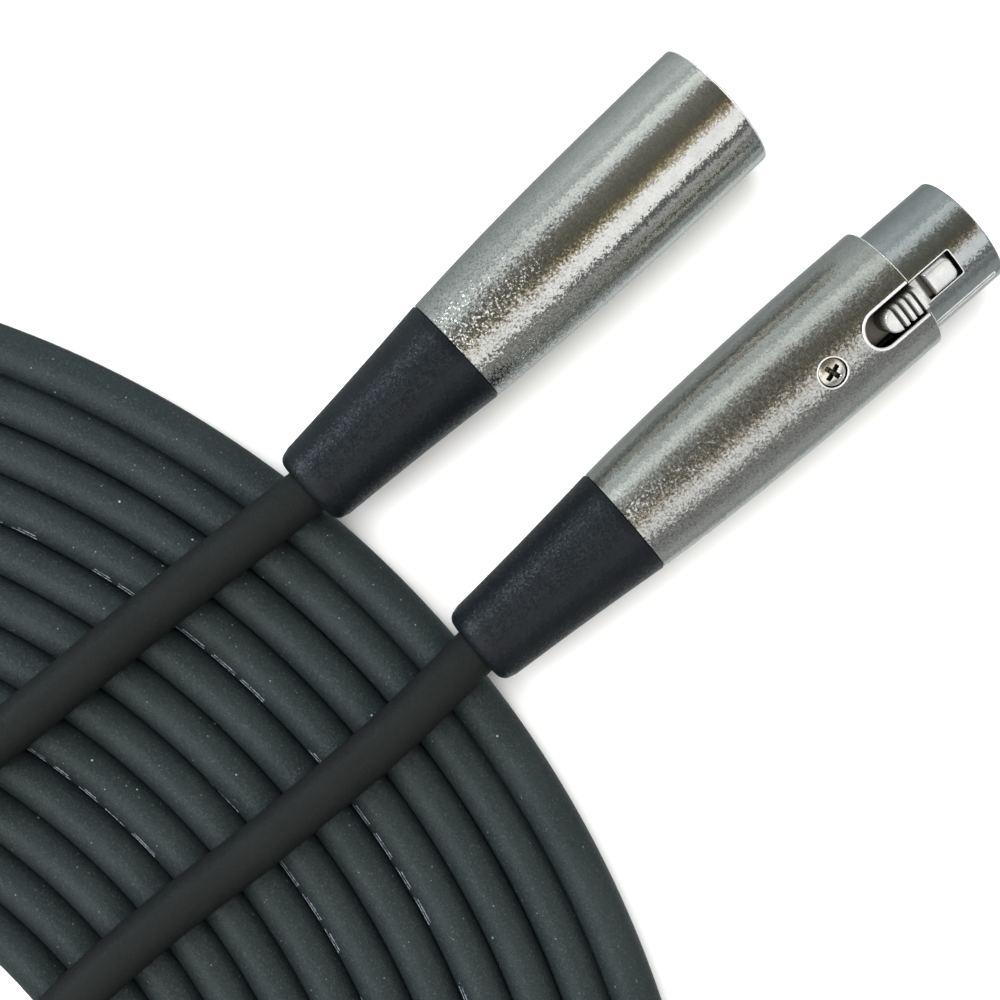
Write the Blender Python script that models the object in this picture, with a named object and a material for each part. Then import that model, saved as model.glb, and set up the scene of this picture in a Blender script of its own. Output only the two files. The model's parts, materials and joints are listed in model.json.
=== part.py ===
"""Microphone cable wound as a flat one-layer coil, with its male and female round connectors.

The origin is on the surface that the coil lies on, under the middle of the bounding box. +Z is
up, and +Y is the way the two connectors point. Blender's unit is the metre. The sizes below are
in millimetres, and every builder function multiplies them by MM.
"""

import math

import bmesh
import bpy
from mathutils import Vector

MM = 0.001

# Cable and coil
CABLE_DIAMETER = 6.8
CABLE_RADIUS = CABLE_DIAMETER / 2
COIL_TURNS = 12
COIL_PITCH = 6.4
COIL_OUTER_RADIUS = 149.5
COIL_INNER_RADIUS = COIL_OUTER_RADIUS - COIL_TURNS * COIL_PITCH
COIL_SIDES = 72
LEAD_SPACING = 2 * CABLE_DIAMETER
NEIGHBOUR_GAP = 0.3

# Hook-and-loop ties round the coil's section
TIE_WIDTH = 16.0
TIE_THICKNESS = 1.2
TIE_ANGLES = (20.0, 165.0)

# Connectors: where the boot's back end is, seen from the coil's centre, and which way it points
MALE_BACK = (-24.2, 148.3)
MALE_YAW = 1.27
MALE_ROLL = 150.0
FEMALE_BACK = (6.7, 150.65)
FEMALE_YAW = -1.24
FEMALE_ROLL = 17.5

# Both connectors, along their own Y axis from the boot's back end
BOOT_BACK_RADIUS = 5.9
BOOT_SLOPE = 0.085
BOOT_BORE = 3.8
BOOT_MOUTH_RADIUS = 4.2
BOOT_MOUTH_DEPTH = 6
SPIGOT_RADIUS = 6.7
SPIGOT_LENGTH = 3.6
CHAMBER_RADIUS = 7.1
CLAMP_BACK = 31.0
CLAMP_LENGTH = 3.0
CLAMP_BORE = 3.7
CLAMP_SCREW_OFFSET = 5.75
JACKET_END = 35.0
CONTACT_CIRCLE = 3.8
CONTACT_ANGLES = (30.0, 150.0, 270.0)
CORE_RADIUS = 0.6
CORE_COLOURS = {
    "core_hot": (0.55, 0.03, 0.03),
    "core_cold": (0.75, 0.75, 0.72),
    "drain_wire": (0.60, 0.33, 0.20),
}

# Male connector
MALE_SHELL_BACK = 27.5
MALE_LENGTH = 75.5
MALE_RIM_RADIUS = 9.7
MALE_CAVITY_RADIUS = 8.25
MALE_CAVITY_BACK = 46.0
MALE_INSERT_FACE = 59.6
MALE_SCREW_Y = 53.0
PIN_RADIUS = 1.2
PIN_TIP = 74.7

# Female connector
FEMALE_SHELL_BACK = 26.6
SHOULDER = 74.4
FEMALE_LENGTH = 86.4
FEMALE_SHELL_RADIUS = 9.53
FEMALE_SHELL_BORE = 8.3
NOSE_RADIUS = 8.0
NOSE_BORE = 7.1
NOSE_BACK = 57.0
FEMALE_INSERT_RADIUS = 6.8
FEMALE_INSERT_FACE = 85.8
FEMALE_SCREW_Y = 59.2
SCREW_HEAD_RADIUS = 1.75

# Latch: a lever in the female connector, hinged on a cross pin
PIVOT = (64.0, 5.6)
PIVOT_PIN_RADIUS = 0.5
LEVER_HALF_WIDTH = 1.7
LEVER_BOTTOM = 6.3
LEVER_TOP = 7.1
BUTTON_BACK = 67.9
BUTTON_FRONT = 74.2
BUTTON_TOP = 10.4
BUTTON_HALF_WIDTH = 1.9
BUTTON_GROOVES = 4
GROOVE_PITCH = 1.08
BRIDGE_FRONT = 75.4
CATCH_BACK = 76.5
CATCH_FRONT = 80.8
CATCH_TOP = 8.45
SHELL_SLOT_WIDTH = 5.4
SHELL_SLOT_BACK = 65.2
NOSE_SLOT_WIDTH = 4.05
NOSE_SLOT = (61.9, 81.2)
CHANNEL_WIDTH = 4.3
CHANNEL_FLOOR = 4.1

# The bounding box runs from the coil's back edge to the female connector's slightly tilted rim
RIM_TILT = NOSE_RADIUS * math.sin(math.radians(abs(FEMALE_YAW)))
FRONT_REACH = FEMALE_BACK[1] + FEMALE_LENGTH * math.cos(math.radians(FEMALE_YAW)) + RIM_TILT
COIL_CENTRE_Y = (COIL_OUTER_RADIUS - FRONT_REACH) / 2

ROUND_SIDES = 36
SMALL_SIDES = 12
SMOOTH_ANGLE = math.radians(35)


def clear_scene():
    for old in list(bpy.data.objects):
        bpy.data.objects.remove(old, do_unlink=True)


def finish(name, colour, roughness, metallic=0.0):
    material = bpy.data.materials.new(name)
    material.use_nodes = True
    shader = material.node_tree.nodes["Principled BSDF"]
    shader.inputs["Base Color"].default_value = (*colour, 1.0)
    shader.inputs["Roughness"].default_value = roughness
    shader.inputs["Metallic"].default_value = metallic
    return material


def add_object(name, data, material, frame):
    obj = bpy.data.objects.new(name, data)
    bpy.context.scene.collection.objects.link(obj)
    obj.parent = frame
    if material:
        data.materials.append(material)
    return obj


def add_frame(name, location=(0, 0, 0), turn=(0, 0, 0), parent=None):
    """An empty that holds a group of pieces. The turn is in degrees about X, then Y, then Z."""
    frame = bpy.data.objects.new(name, None)
    bpy.context.scene.collection.objects.link(frame)
    frame.location = Vector(location) * MM
    frame.rotation_euler = [math.radians(angle) for angle in turn]
    frame.parent = parent
    return frame


def place(axis, along, across, over):
    """Coordinates of a point from its distance along the axis and its other two, in X, Y, Z order."""
    return {"x": (along, across, over), "y": (across, along, over), "z": (across, over, along)}[axis]


def add_mesh(name, mesh, material, frame):
    bmesh.ops.recalc_face_normals(mesh, faces=mesh.faces)
    data = bpy.data.meshes.new(name)
    mesh.to_mesh(data)
    mesh.free()
    data.shade_smooth()
    data.set_sharp_from_angle(angle=SMOOTH_ANGLE)
    return add_object(name, data, material, frame)


def turned(name, outline, material, frame, sides=ROUND_SIDES, axis="y", centre=(0, 0)):
    """A solid of revolution. The outline is a closed loop of (distance along the axis, radius)."""
    mesh = bmesh.new()
    rings = []
    for along, radius in outline:
        angles = [math.tau * i / sides for i in range(sides if radius > 0 else 1)]
        rings.append(
            [
                mesh.verts.new(
                    Vector(
                        place(
                            axis,
                            along,
                            centre[0] + radius * math.cos(angle),
                            centre[1] + radius * math.sin(angle),
                        )
                    )
                    * MM
                )
                for angle in angles
            ]
        )
    for ring, following in zip(rings, rings[1:] + rings[:1]):
        if len(ring) == len(following) == 1:
            continue
        for i in range(sides):
            corners = (
                ring[i % len(ring)],
                ring[(i + 1) % len(ring)],
                following[(i + 1) % len(following)],
                following[i % len(following)],
            )
            mesh.faces.new(list(dict.fromkeys(corners)))
    return add_mesh(name, mesh, material, frame)


def prism(name, outline, low, high, material, frame, axis="y"):
    """An outline in the plane across the axis, extruded from low to high along the axis."""
    mesh = bmesh.new()
    ends = [
        [mesh.verts.new(Vector(place(axis, along, a, b)) * MM) for a, b in outline]
        for along in (low, high)
    ]
    for end in ends:
        mesh.faces.new(end)
    for i in range(len(outline)):
        j = (i + 1) % len(outline)
        mesh.faces.new((ends[0][i], ends[0][j], ends[1][j], ends[1][i]))
    return add_mesh(name, mesh, material, frame)


def band(name, inner, outer, half_width, material, frame):
    """A closed strip between two loops of (x, z) with the same number of points."""
    mesh = bmesh.new()
    loops = [
        [mesh.verts.new(Vector((x, side * half_width, z)) * MM) for x, z in loop]
        for loop, side in ((inner, -1), (outer, -1), (outer, 1), (inner, 1))
    ]
    for loop, following in zip(loops, loops[1:] + loops[:1]):
        for i in range(len(loop)):
            j = (i + 1) % len(loop)
            mesh.faces.new((loop[i], loop[j], following[j], following[i]))
    return add_mesh(name, mesh, material, frame)


def tube(name, points, radius, material, frame, resolution=2):
    """A cord: one open POLY curve with a round section and filled ends."""
    data = bpy.data.curves.new(name, "CURVE")
    data.dimensions = "3D"
    data.bevel_depth = radius * MM
    data.bevel_resolution = resolution
    data.use_fill_caps = True
    spline = data.splines.new("POLY")
    spline.points.add(len(points) - 1)
    for target, point in zip(spline.points, points):
        target.co = (*(Vector(point) * MM), 1.0)
    return add_object(name, data, material, frame)


def arc(centre, radius, start, end, steps):
    """Points on a circle in the outline's plane, from the start angle to the end angle in degrees."""
    angles = [math.radians(start + (end - start) * i / steps) for i in range(steps + 1)]
    return [(centre[0] + radius * math.cos(a), centre[1] + radius * math.sin(a)) for a in angles]


def circle(centre, radius, sides=SMALL_SIDES):
    return arc(centre, radius, 0, 360, sides)[:-1]


def box(low, high):
    return [(low[0], low[1]), (high[0], low[1]), (high[0], high[1]), (low[0], high[1])]


def combine(target, tool, operation="DIFFERENCE"):
    """Cuts the target with a tool, or joins a second shape to it. The tool itself isn't a piece."""
    tool.hide_render = True
    tool.display_type = "WIRE"
    modifier = target.modifiers.new(f"{operation.title()} {tool.name}", "BOOLEAN")
    modifier.operation = operation
    modifier.solver = "EXACT"
    modifier.object = tool


def smooth_route(points, spacing):
    """Points at an even spacing on a Catmull-Rom curve through the given ones."""
    knots = [Vector(p) for p in points]
    knots = [2 * knots[0] - knots[1]] + knots + [2 * knots[-1] - knots[-2]]
    fine = [knots[1]]
    steps = 24
    for before, start, end, after in zip(knots, knots[1:], knots[2:], knots[3:]):
        for i in range(1, steps + 1):
            t = i / steps
            fine.append(
                0.5
                * (
                    2 * start
                    + (end - before) * t
                    + (2 * before - 5 * start + 4 * end - after) * t * t
                    + (3 * start - before - 3 * end + after) * t * t * t
                )
            )
    travelled = [0.0]
    for a, b in zip(fine, fine[1:]):
        travelled.append(travelled[-1] + (b - a).length)
    count = max(2, round(travelled[-1] / spacing))
    route = []
    index = 0
    for i in range(count + 1):
        wanted = travelled[-1] * i / count
        while index < len(fine) - 2 and travelled[index + 1] < wanted:
            index += 1
        share = (wanted - travelled[index]) / (travelled[index + 1] - travelled[index])
        route.append(fine[index].lerp(fine[index + 1], share))
    return route


# ---------------------------------------------------------------- cable, coil and ties


def on_axis(back, yaw, height, along):
    """A point on a connector's axis, at this distance from its boot's back end."""
    angle = math.radians(yaw)
    return (back[0] - along * math.sin(angle), back[1] + along * math.cos(angle), height)


def coil_section():
    """The coil's section, as (height, radius): flat top and bottom, with the outer turns' round sides."""
    outer = COIL_OUTER_RADIUS - CABLE_RADIUS
    inner = COIL_INNER_RADIUS + CABLE_RADIUS
    outside = arc((CABLE_RADIUS, outer), CABLE_RADIUS, 180, 0, 6)
    inside = arc((CABLE_RADIUS, inner), CABLE_RADIUS, 0, -180, 6)
    return outside + inside


def make_cable(frame):
    jacket = finish("cable_jacket", (0.028, 0.033, 0.033), 0.55)
    coil = turned("cable_coil", coil_section(), jacket, frame, COIL_SIDES, axis="z")
    for number, angle in enumerate(TIE_ANGLES, start=1):
        spot = add_frame(f"tie_frame_{number}", turn=(0, 0, angle), parent=frame)
        half = TIE_WIDTH / 2 + NEIGHBOUR_GAP
        notch = prism(
            f"tie_notch_{number}",
            box((COIL_INNER_RADIUS - 5, -half), (COIL_OUTER_RADIUS + 5, half)),
            -1,
            TIE_THICKNESS + NEIGHBOUR_GAP,
            None,
            spot,
            axis="z",
        )
        combine(coil, notch)
        make_tie(f"coil_tie_{number}", spot)

    over_coil = 1.5 * CABLE_DIAMETER + NEIGHBOUR_GAP
    on_floor = CABLE_RADIUS + 0.1
    male_route = [
        on_axis(MALE_BACK, MALE_YAW, MALE_RIM_RADIUS, JACKET_END),
        on_axis(MALE_BACK, MALE_YAW, MALE_RIM_RADIUS, 24),
        on_axis(MALE_BACK, MALE_YAW, MALE_RIM_RADIUS, 12),
        on_axis(MALE_BACK, MALE_YAW, MALE_RIM_RADIUS, 2),
        (-24.4, 145.0, over_coil),
        (-25.3, 134.0, over_coil),
        (-26.3, 118.0, over_coil),
        (-27.4, 96.0, over_coil),
        (-28.8, 79.0, over_coil),
        (-30.2, 69.5, over_coil + 0.3),
        (-32.2, 60.0, 9.6),
        (-34.5, 50.0, 7.6),
        (-40.0, 32.0, 4.6),
        (-49.0, 8.0, on_floor),
        (-57.0, -12.0, on_floor),
        (-61.0, -26.0, on_floor),
    ]
    female_route = [
        on_axis(FEMALE_BACK, FEMALE_YAW, FEMALE_SHELL_RADIUS, JACKET_END),
        on_axis(FEMALE_BACK, FEMALE_YAW, FEMALE_SHELL_RADIUS, 24),
        on_axis(FEMALE_BACK, FEMALE_YAW, FEMALE_SHELL_RADIUS, 12),
        on_axis(FEMALE_BACK, FEMALE_YAW, FEMALE_SHELL_RADIUS, 2),
        (7.1, 146.0, over_coil),
        (7.5, 134.0, over_coil),
        (6.7, 112.0, over_coil),
        (5.3, 93.0, over_coil),
        (5.6, 75.0, over_coil),
        (8.5, 61.0, 9.4),
        (18.0, 40.0, 5.4),
        (34.0, 19.0, 3.9),
        (52.0, -1.0, 6.4),
        (68.0, -20.0, over_coil),
        (79.0, -38.0, over_coil),
        (87.0, -57.0, over_coil),
        (89.0, -82.0, over_coil),
        (79.0, -108.0, over_coil),
        (58.0, -129.5, over_coil),
        (30.0, -141.5, over_coil),
        (0.0, -145.0, over_coil),
        (-35.0, -141.0, over_coil),
        (-70.0, -127.5, over_coil),
        (-103.0, -102.9, over_coil),
    ]
    tube("male_lead", smooth_route(male_route, LEAD_SPACING), CABLE_RADIUS, jacket, frame)
    tube("female_lead", smooth_route(female_route, LEAD_SPACING), CABLE_RADIUS, jacket, frame)


def make_tie(name, spot):
    """One strap round the coil's section, as two rounded loops in the plane of the radius and Z."""
    webbing = finish(name, (0.015, 0.015, 0.016), 0.9)
    slack = 1.9
    clear = NEIGHBOUR_GAP
    floor = TIE_THICKNESS
    top = CABLE_DIAMETER + clear
    middle = (floor + top) / 2
    loops = []
    for extra in (0, TIE_THICKNESS):
        radius = (top - floor) / 2 + extra
        outside = arc((COIL_OUTER_RADIUS - CABLE_RADIUS + slack, middle), radius, -90, 90, 8)
        inside = arc((COIL_INNER_RADIUS + CABLE_RADIUS - slack, middle), radius, 90, 270, 8)
        loops.append(outside + inside)
    band(name, loops[0], loops[1], TIE_WIDTH / 2, webbing, spot)


# ---------------------------------------------------------------- pieces that both connectors have


def boot_radius(y):
    return BOOT_BACK_RADIUS + BOOT_SLOPE * (y - 2)


def make_boot(kind, shell_back, frame):
    """A tapered rubber strain relief whose spigot plugs into the shell."""
    rubber = finish(f"{kind}_boot", (0.016, 0.017, 0.021), 0.6)
    front = shell_back - NEIGHBOUR_GAP
    outline = [
        (BOOT_MOUTH_DEPTH, BOOT_BORE),
        (0, BOOT_MOUTH_RADIUS),
        (0, BOOT_BACK_RADIUS - 1.4),
        (0.3, BOOT_BACK_RADIUS - 0.6),
        (0.9, BOOT_BACK_RADIUS - 0.2),
        (2, boot_radius(2)),
        (front, boot_radius(front)),
        (front, SPIGOT_RADIUS),
        (front + SPIGOT_LENGTH, SPIGOT_RADIUS),
        (front + SPIGOT_LENGTH, BOOT_BORE),
    ]
    turned(f"{kind}_boot", outline, rubber, frame)


def make_clamp(kind, frame):
    """Two arched saddles round the jacket, drawn together by a screw on each side."""
    steel = finish(f"{kind}_clamp", (0.55, 0.55, 0.53), 0.35, 1.0)
    wall = 1.3
    ear = 6.7
    face = NEIGHBOUR_GAP / 2
    ear_top = face + wall
    outer = CLAMP_BORE + wall
    meets_ear = math.degrees(math.asin(ear_top / outer))
    meets_face = math.degrees(math.asin(face / CLAMP_BORE))
    arch = [(ear, face), (ear, ear_top)]
    arch += arc((0, 0), outer, meets_ear, 180 - meets_ear, 12)
    arch += [(-ear, ear_top), (-ear, face)]
    arch += arc((0, 0), CLAMP_BORE, 180 - meets_face, meets_face, 12)
    for part, sign in (("upper", 1), ("lower", -1)):
        outline = [(x, sign * z) for x, z in arch]
        name = f"{kind}_clamp_{part}"
        saddle = prism(name, outline, CLAMP_BACK, CLAMP_BACK + CLAMP_LENGTH, steel, frame)
        for side in (-1, 1):
            centre = (side * CLAMP_SCREW_OFFSET, CLAMP_BACK + CLAMP_LENGTH / 2)
            hole = prism(f"{name}_hole{side}", circle(centre, 0.78), -4, 4, None, frame, axis="z")
            combine(saddle, hole)
    for side, word in ((-1, "left"), (1, "right")):
        head = ear_top + NEIGHBOUR_GAP
        outline = [(-2.3, 0), (-2.3, 0.5), (head, 0.5), (head, 0.75), (head + 0.7, 0.75), (head + 0.7, 0)]
        centre = (side * CLAMP_SCREW_OFFSET, CLAMP_BACK + CLAMP_LENGTH / 2)
        turned(f"{kind}_clamp_screw_{word}", outline, steel, frame, 12, axis="z", centre=centre)


def contact_centre(angle):
    turn = math.radians(angle)
    return (CONTACT_CIRCLE * math.cos(turn), CONTACT_CIRCLE * math.sin(turn))


def make_cores(kind, cup_back, frame):
    """The two cores and the drain wire, from the jacket's end into the contacts' solder cups."""
    for (word, colour), angle in zip(CORE_COLOURS.items(), CONTACT_ANGLES):
        x, z = contact_centre(angle)
        start = JACKET_END + NEIGHBOUR_GAP
        inset = 1.0 / CONTACT_CIRCLE
        route = [
            (x * inset, start, z * inset),
            (x * inset, start + 1, z * inset),
            (x * 0.7, (start + cup_back) / 2, z * 0.7),
            (x, cup_back - 0.6, z),
            (x, cup_back + 1.2, z),
        ]
        copper = finish(f"{kind}_{word}", colour, 0.45)
        tube(f"{kind}_{word}", smooth_route(route, 1.0), CORE_RADIUS, copper, frame, 1)


def retaining_screw(name, y, low, head_low, frame):
    """A radial cross-recess screw: its shank holds the insert, its head sits in the shell's wall."""
    steel = finish(name, (0.62, 0.60, 0.56), 0.3, 1.0)
    head_top = head_low + 1.0
    outline = [(low, 0), (low, 1.0), (head_low, 1.0), (head_low, SCREW_HEAD_RADIUS)]
    outline += [(head_top - 0.15, SCREW_HEAD_RADIUS), (head_top, SCREW_HEAD_RADIUS - 0.2), (head_top, 0)]
    screw = turned(name, outline, steel, frame, SMALL_SIDES, axis="z", centre=(0, y))
    arm, half = 1.05, 0.24
    for word, size in (("long", (half, arm)), ("cross", (arm, half))):
        outline = box((-size[0], y - size[1]), (size[0], y + size[1]))
        recess = prism(f"{name}_{word}", outline, head_top - 0.55, head_top + 1, None, frame, axis="z")
        combine(screw, recess)


def radial_hole(target, y, radius, low, high, frame):
    outline = circle((0, y), radius)
    combine(target, prism(f"{target.name}_screw_hole", outline, low, high, None, frame, axis="z"))


# ---------------------------------------------------------------- male connector


def make_male(frame):
    nickel = finish("male_shell", (0.60, 0.58, 0.54), 0.28, 1.0)
    outline = [
        (MALE_SHELL_BACK, CHAMBER_RADIUS),
        (MALE_SHELL_BACK, 8.2),
        (33.5, 8.6),
        (41.5, 9.04),
        (53.5, 9.44),
        (66.0, 9.64),
        (MALE_LENGTH - 0.3, MALE_RIM_RADIUS),
        (MALE_LENGTH, MALE_RIM_RADIUS - 0.3),
        (MALE_LENGTH, MALE_CAVITY_RADIUS + 0.25),
        (MALE_LENGTH - 0.4, MALE_CAVITY_RADIUS),
        (MALE_CAVITY_BACK, MALE_CAVITY_RADIUS),
        (MALE_CAVITY_BACK, CHAMBER_RADIUS),
    ]
    shell = turned("male_shell", outline, nickel, frame)
    radial_hole(shell, MALE_SCREW_Y, SCREW_HEAD_RADIUS + 0.3, 7.5, 12, frame)

    moulding = finish("male_insert", (0.02, 0.02, 0.02), 0.45)
    insert_radius = MALE_CAVITY_RADIUS - NEIGHBOUR_GAP
    step = MALE_CAVITY_BACK + NEIGHBOUR_GAP
    back = 43.5
    outline = [
        (back, 0),
        (back, CHAMBER_RADIUS - NEIGHBOUR_GAP),
        (step, CHAMBER_RADIUS - NEIGHBOUR_GAP),
        (step, insert_radius),
        (MALE_INSERT_FACE, insert_radius),
        (MALE_INSERT_FACE, 0),
    ]
    insert = turned("male_insert", outline, moulding, frame)
    radial_hole(insert, MALE_SCREW_Y, 1.3, 5.5, 12, frame)
    retaining_screw("male_retaining_screw", MALE_SCREW_Y, 5.8, 8.35, frame)

    plated = finish("male_pins", (0.66, 0.63, 0.56), 0.25, 1.0)
    cup_back = 39.5
    for number, angle in enumerate(CONTACT_ANGLES, start=1):
        centre = contact_centre(angle)
        hole = prism(f"male_pin_hole_{number}", circle(centre, 1.8), 40, 62, None, frame)
        combine(insert, hole)
        outline = [
            (cup_back + 3, 0),
            (cup_back + 3, 0.95),
            (cup_back, 0.95),
            (cup_back, 1.45),
            (MALE_INSERT_FACE, 1.45),
            (MALE_INSERT_FACE, PIN_RADIUS),
            (PIN_TIP - 1.1, PIN_RADIUS),
            (PIN_TIP - 0.35, 0.85),
            (PIN_TIP, 0.35),
            (PIN_TIP, 0),
        ]
        turned(f"male_pin_{number}", outline, plated, frame, SMALL_SIDES, centre=centre)
    make_cores("male", cup_back, frame)
    make_clamp("male", frame)
    make_boot("male", MALE_SHELL_BACK, frame)


# ---------------------------------------------------------------- female connector


def slot_outline(width, back, front, round_back):
    """A slot seen from outside, as (x, y), with a round or a square back end."""
    half = width / 2
    if round_back:
        return [(half, front), (-half, front)] + arc((0, back + half), half, 180, 360, 12)
    return box((-half, back), (half, front))


def make_female_shell(frame):
    nickel = finish("female_shell", (0.60, 0.58, 0.54), 0.28, 1.0)
    outline = [
        (FEMALE_SHELL_BACK, CHAMBER_RADIUS),
        (FEMALE_SHELL_BACK, 8.1),
        (31.0, 8.45),
        (36.0, 8.75),
        (43.0, 9.08),
        (53.0, 9.38),
        (63.0, FEMALE_SHELL_RADIUS),
        (SHOULDER - 0.5, FEMALE_SHELL_RADIUS),
        (SHOULDER, FEMALE_SHELL_RADIUS - 0.5),
        (SHOULDER, FEMALE_SHELL_BORE),
        (NOSE_BACK - 0.6, FEMALE_SHELL_BORE),
        (NOSE_BACK - 0.6, CHAMBER_RADIUS),
    ]
    shell = turned("female_shell", outline, nickel, frame)
    radial_hole(shell, FEMALE_SCREW_Y, SCREW_HEAD_RADIUS + 0.3, 7.5, 12, frame)
    slot = slot_outline(SHELL_SLOT_WIDTH, SHELL_SLOT_BACK, SHOULDER + 3, True)
    combine(shell, prism("female_shell_slot", slot, 6, 14, None, frame, axis="z"))


def make_female_nose(frame):
    nickel = finish("female_nose", (0.62, 0.60, 0.56), 0.25, 1.0)
    outline = [
        (NOSE_BACK, NOSE_BORE),
        (NOSE_BACK, NOSE_RADIUS),
        (FEMALE_LENGTH - 0.5, NOSE_RADIUS),
        (FEMALE_LENGTH, NOSE_RADIUS - 0.4),
        (FEMALE_LENGTH, NOSE_BORE),
    ]
    nose = turned("female_nose", outline, nickel, frame)
    radial_hole(nose, FEMALE_SCREW_Y, 1.3, 5, 12, frame)
    slot = slot_outline(NOSE_SLOT_WIDTH, *NOSE_SLOT, False)
    combine(nose, prism("female_nose_slot", slot, 5, 12, None, frame, axis="z"))


def make_female_insert(frame):
    moulding = finish("female_insert", (0.02, 0.02, 0.02), 0.45)
    radius = FEMALE_INSERT_RADIUS
    back = 53.5
    outline = [(back, 0), (back, radius), (FEMALE_INSERT_FACE, radius), (FEMALE_INSERT_FACE, 0)]
    insert = turned("female_insert", outline, moulding, frame)
    radial_hole(insert, FEMALE_SCREW_Y, 1.3, 4.5, 12, frame)
    channel = slot_outline(CHANNEL_WIDTH, NOSE_SLOT[0] - 0.3, NOSE_SLOT[1] + 0.4, False)
    combine(insert, prism("latch_channel", channel, CHANNEL_FLOOR, 12, None, frame, axis="z"))
    bore = circle(PIVOT, PIVOT_PIN_RADIUS + 0.3)
    combine(insert, prism("pivot_bore", bore, -7, 7, None, frame, axis="x"))

    bronze = finish("female_sockets", (0.70, 0.55, 0.32), 0.3, 1.0)
    cup_back = 47.5
    socket_bore = 1.22
    for number, angle in enumerate(CONTACT_ANGLES, start=1):
        centre = contact_centre(angle)
        hole = prism(f"female_socket_hole_{number}", circle(centre, 1.8), 50, 88, None, frame)
        combine(insert, hole)
        mouth = FEMALE_INSERT_FACE - 0.5
        outline = [
            (cup_back + 3, 0),
            (cup_back + 3, 0.95),
            (cup_back, 0.95),
            (cup_back, 1.5),
            (mouth, 1.5),
            (mouth, socket_bore),
            (mouth - 15, socket_bore),
            (mouth - 15, 0),
        ]
        turned(f"female_socket_{number}", outline, bronze, frame, SMALL_SIDES, centre=centre)
    make_cores("female", cup_back, frame)


def make_latch(frame):
    """The lever's own frame is on its hinge axis, so its outlines are taken from the pivot."""
    axis = add_frame("latch_axis", (0, *PIVOT), parent=frame)
    steel = finish("latch_lever", (0.68, 0.66, 0.62), 0.25, 1.0)

    def from_pivot(points):
        return [(y - PIVOT[0], z - PIVOT[1]) for y, z in points]

    boss = 1.2
    side = [
        (PIVOT[0] + boss, LEVER_BOTTOM),
        (CATCH_FRONT, LEVER_BOTTOM),
        (CATCH_FRONT, LEVER_TOP + 0.6),
        (CATCH_FRONT - 0.9, CATCH_TOP),
        (CATCH_BACK, CATCH_TOP),
        (CATCH_BACK, LEVER_TOP),
        (BRIDGE_FRONT, LEVER_TOP),
        (BRIDGE_FRONT, CATCH_TOP - 0.15),
        (BUTTON_FRONT - 0.4, CATCH_TOP - 0.15),
        (BUTTON_FRONT - 0.4, LEVER_TOP),
        (PIVOT[0], LEVER_TOP),
    ]
    side += arc(PIVOT, boss, 120, 270, 8)
    side += [(PIVOT[0] + boss, PIVOT[1] - 0.6)]
    width = LEVER_HALF_WIDTH
    lever = prism("latch_lever", from_pivot(side), -width, width, steel, axis, axis="x")
    hole = prism("lever_bore", circle((0, 0), PIVOT_PIN_RADIUS + 0.3), -7, 7, None, axis, axis="x")
    combine(lever, hole)

    plan = slot_outline(2 * BUTTON_HALF_WIDTH, BUTTON_BACK - PIVOT[0], BUTTON_FRONT - PIVOT[0], True)
    low, high = LEVER_TOP - 0.3 - PIVOT[1], BUTTON_TOP - PIVOT[1]
    button = prism("button_block", plan, low, high, steel, axis, axis="z")
    for number in range(BUTTON_GROOVES):
        y = BUTTON_FRONT - PIVOT[0] - 0.8 - GROOVE_PITCH * number
        groove = [(y - 0.15, high - 0.5), (y + 0.15, high - 0.5), (y + 0.25, high + 1), (y - 0.25, high + 1)]
        tool = prism(f"button_groove_{number + 1}", groove, -4, 4, None, axis, axis="x")
        combine(button, tool)
    combine(lever, button, "UNION")

    pin = finish("latch_pivot_pin", (0.6, 0.6, 0.6), 0.3, 1.0)
    outline = [(-3, 0), (-3, PIVOT_PIN_RADIUS), (3, PIVOT_PIN_RADIUS), (3, 0)]
    turned("latch_pivot_pin", outline, pin, frame, 12, axis="x", centre=PIVOT)

    spring_steel = finish("latch_spring", (0.5, 0.5, 0.5), 0.3, 1.0)
    wire = 0.16
    low = CHANNEL_FLOOR + 0.1 + wire
    high = LEVER_BOTTOM - 0.1 - wire
    turns, per_turn, radius = 3, 10, 1.1
    helix = []
    for i in range(turns * per_turn + 1):
        angle = math.tau * i / per_turn
        height = low + (high - low) * i / (turns * per_turn)
        helix.append((radius * math.cos(angle), 71.5 + radius * math.sin(angle), height))
    tube("latch_spring", helix, wire, spring_steel, frame, 0)


def make_female(frame):
    make_female_shell(frame)
    make_female_nose(frame)
    make_female_insert(frame)
    retaining_screw("female_retaining_screw", FEMALE_SCREW_Y, 4.9, 8.35, frame)
    make_latch(frame)
    make_clamp("female", frame)
    make_boot("female", FEMALE_SHELL_BACK, frame)


def main():
    clear_scene()
    coil_frame = add_frame("coil_frame", (0, COIL_CENTRE_Y, 0))
    make_cable(coil_frame)
    male_place = (*MALE_BACK, MALE_RIM_RADIUS)
    female_place = (*FEMALE_BACK, FEMALE_SHELL_RADIUS)
    make_male(add_frame("male_frame", male_place, (0, MALE_ROLL, MALE_YAW), coil_frame))
    make_female(add_frame("female_frame", female_place, (0, FEMALE_ROLL, FEMALE_YAW), coil_frame))


main()
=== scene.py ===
"""The looks of the xlr cable coil: a long microphone cable wound flat, with its two metal connectors.

Lengths are in millimetres and angles in degrees until a mesh or an object is made. The coil's points are
given from the coil's centre. A connector's own frame has its origin at the boot's back end, +Y the way it
points and +Z through its latch or retaining screw.
"""

import json
import math
import random
from bisect import bisect_right

import bmesh
import bpy
from mathutils import Euler, Matrix, Vector, noise


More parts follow.
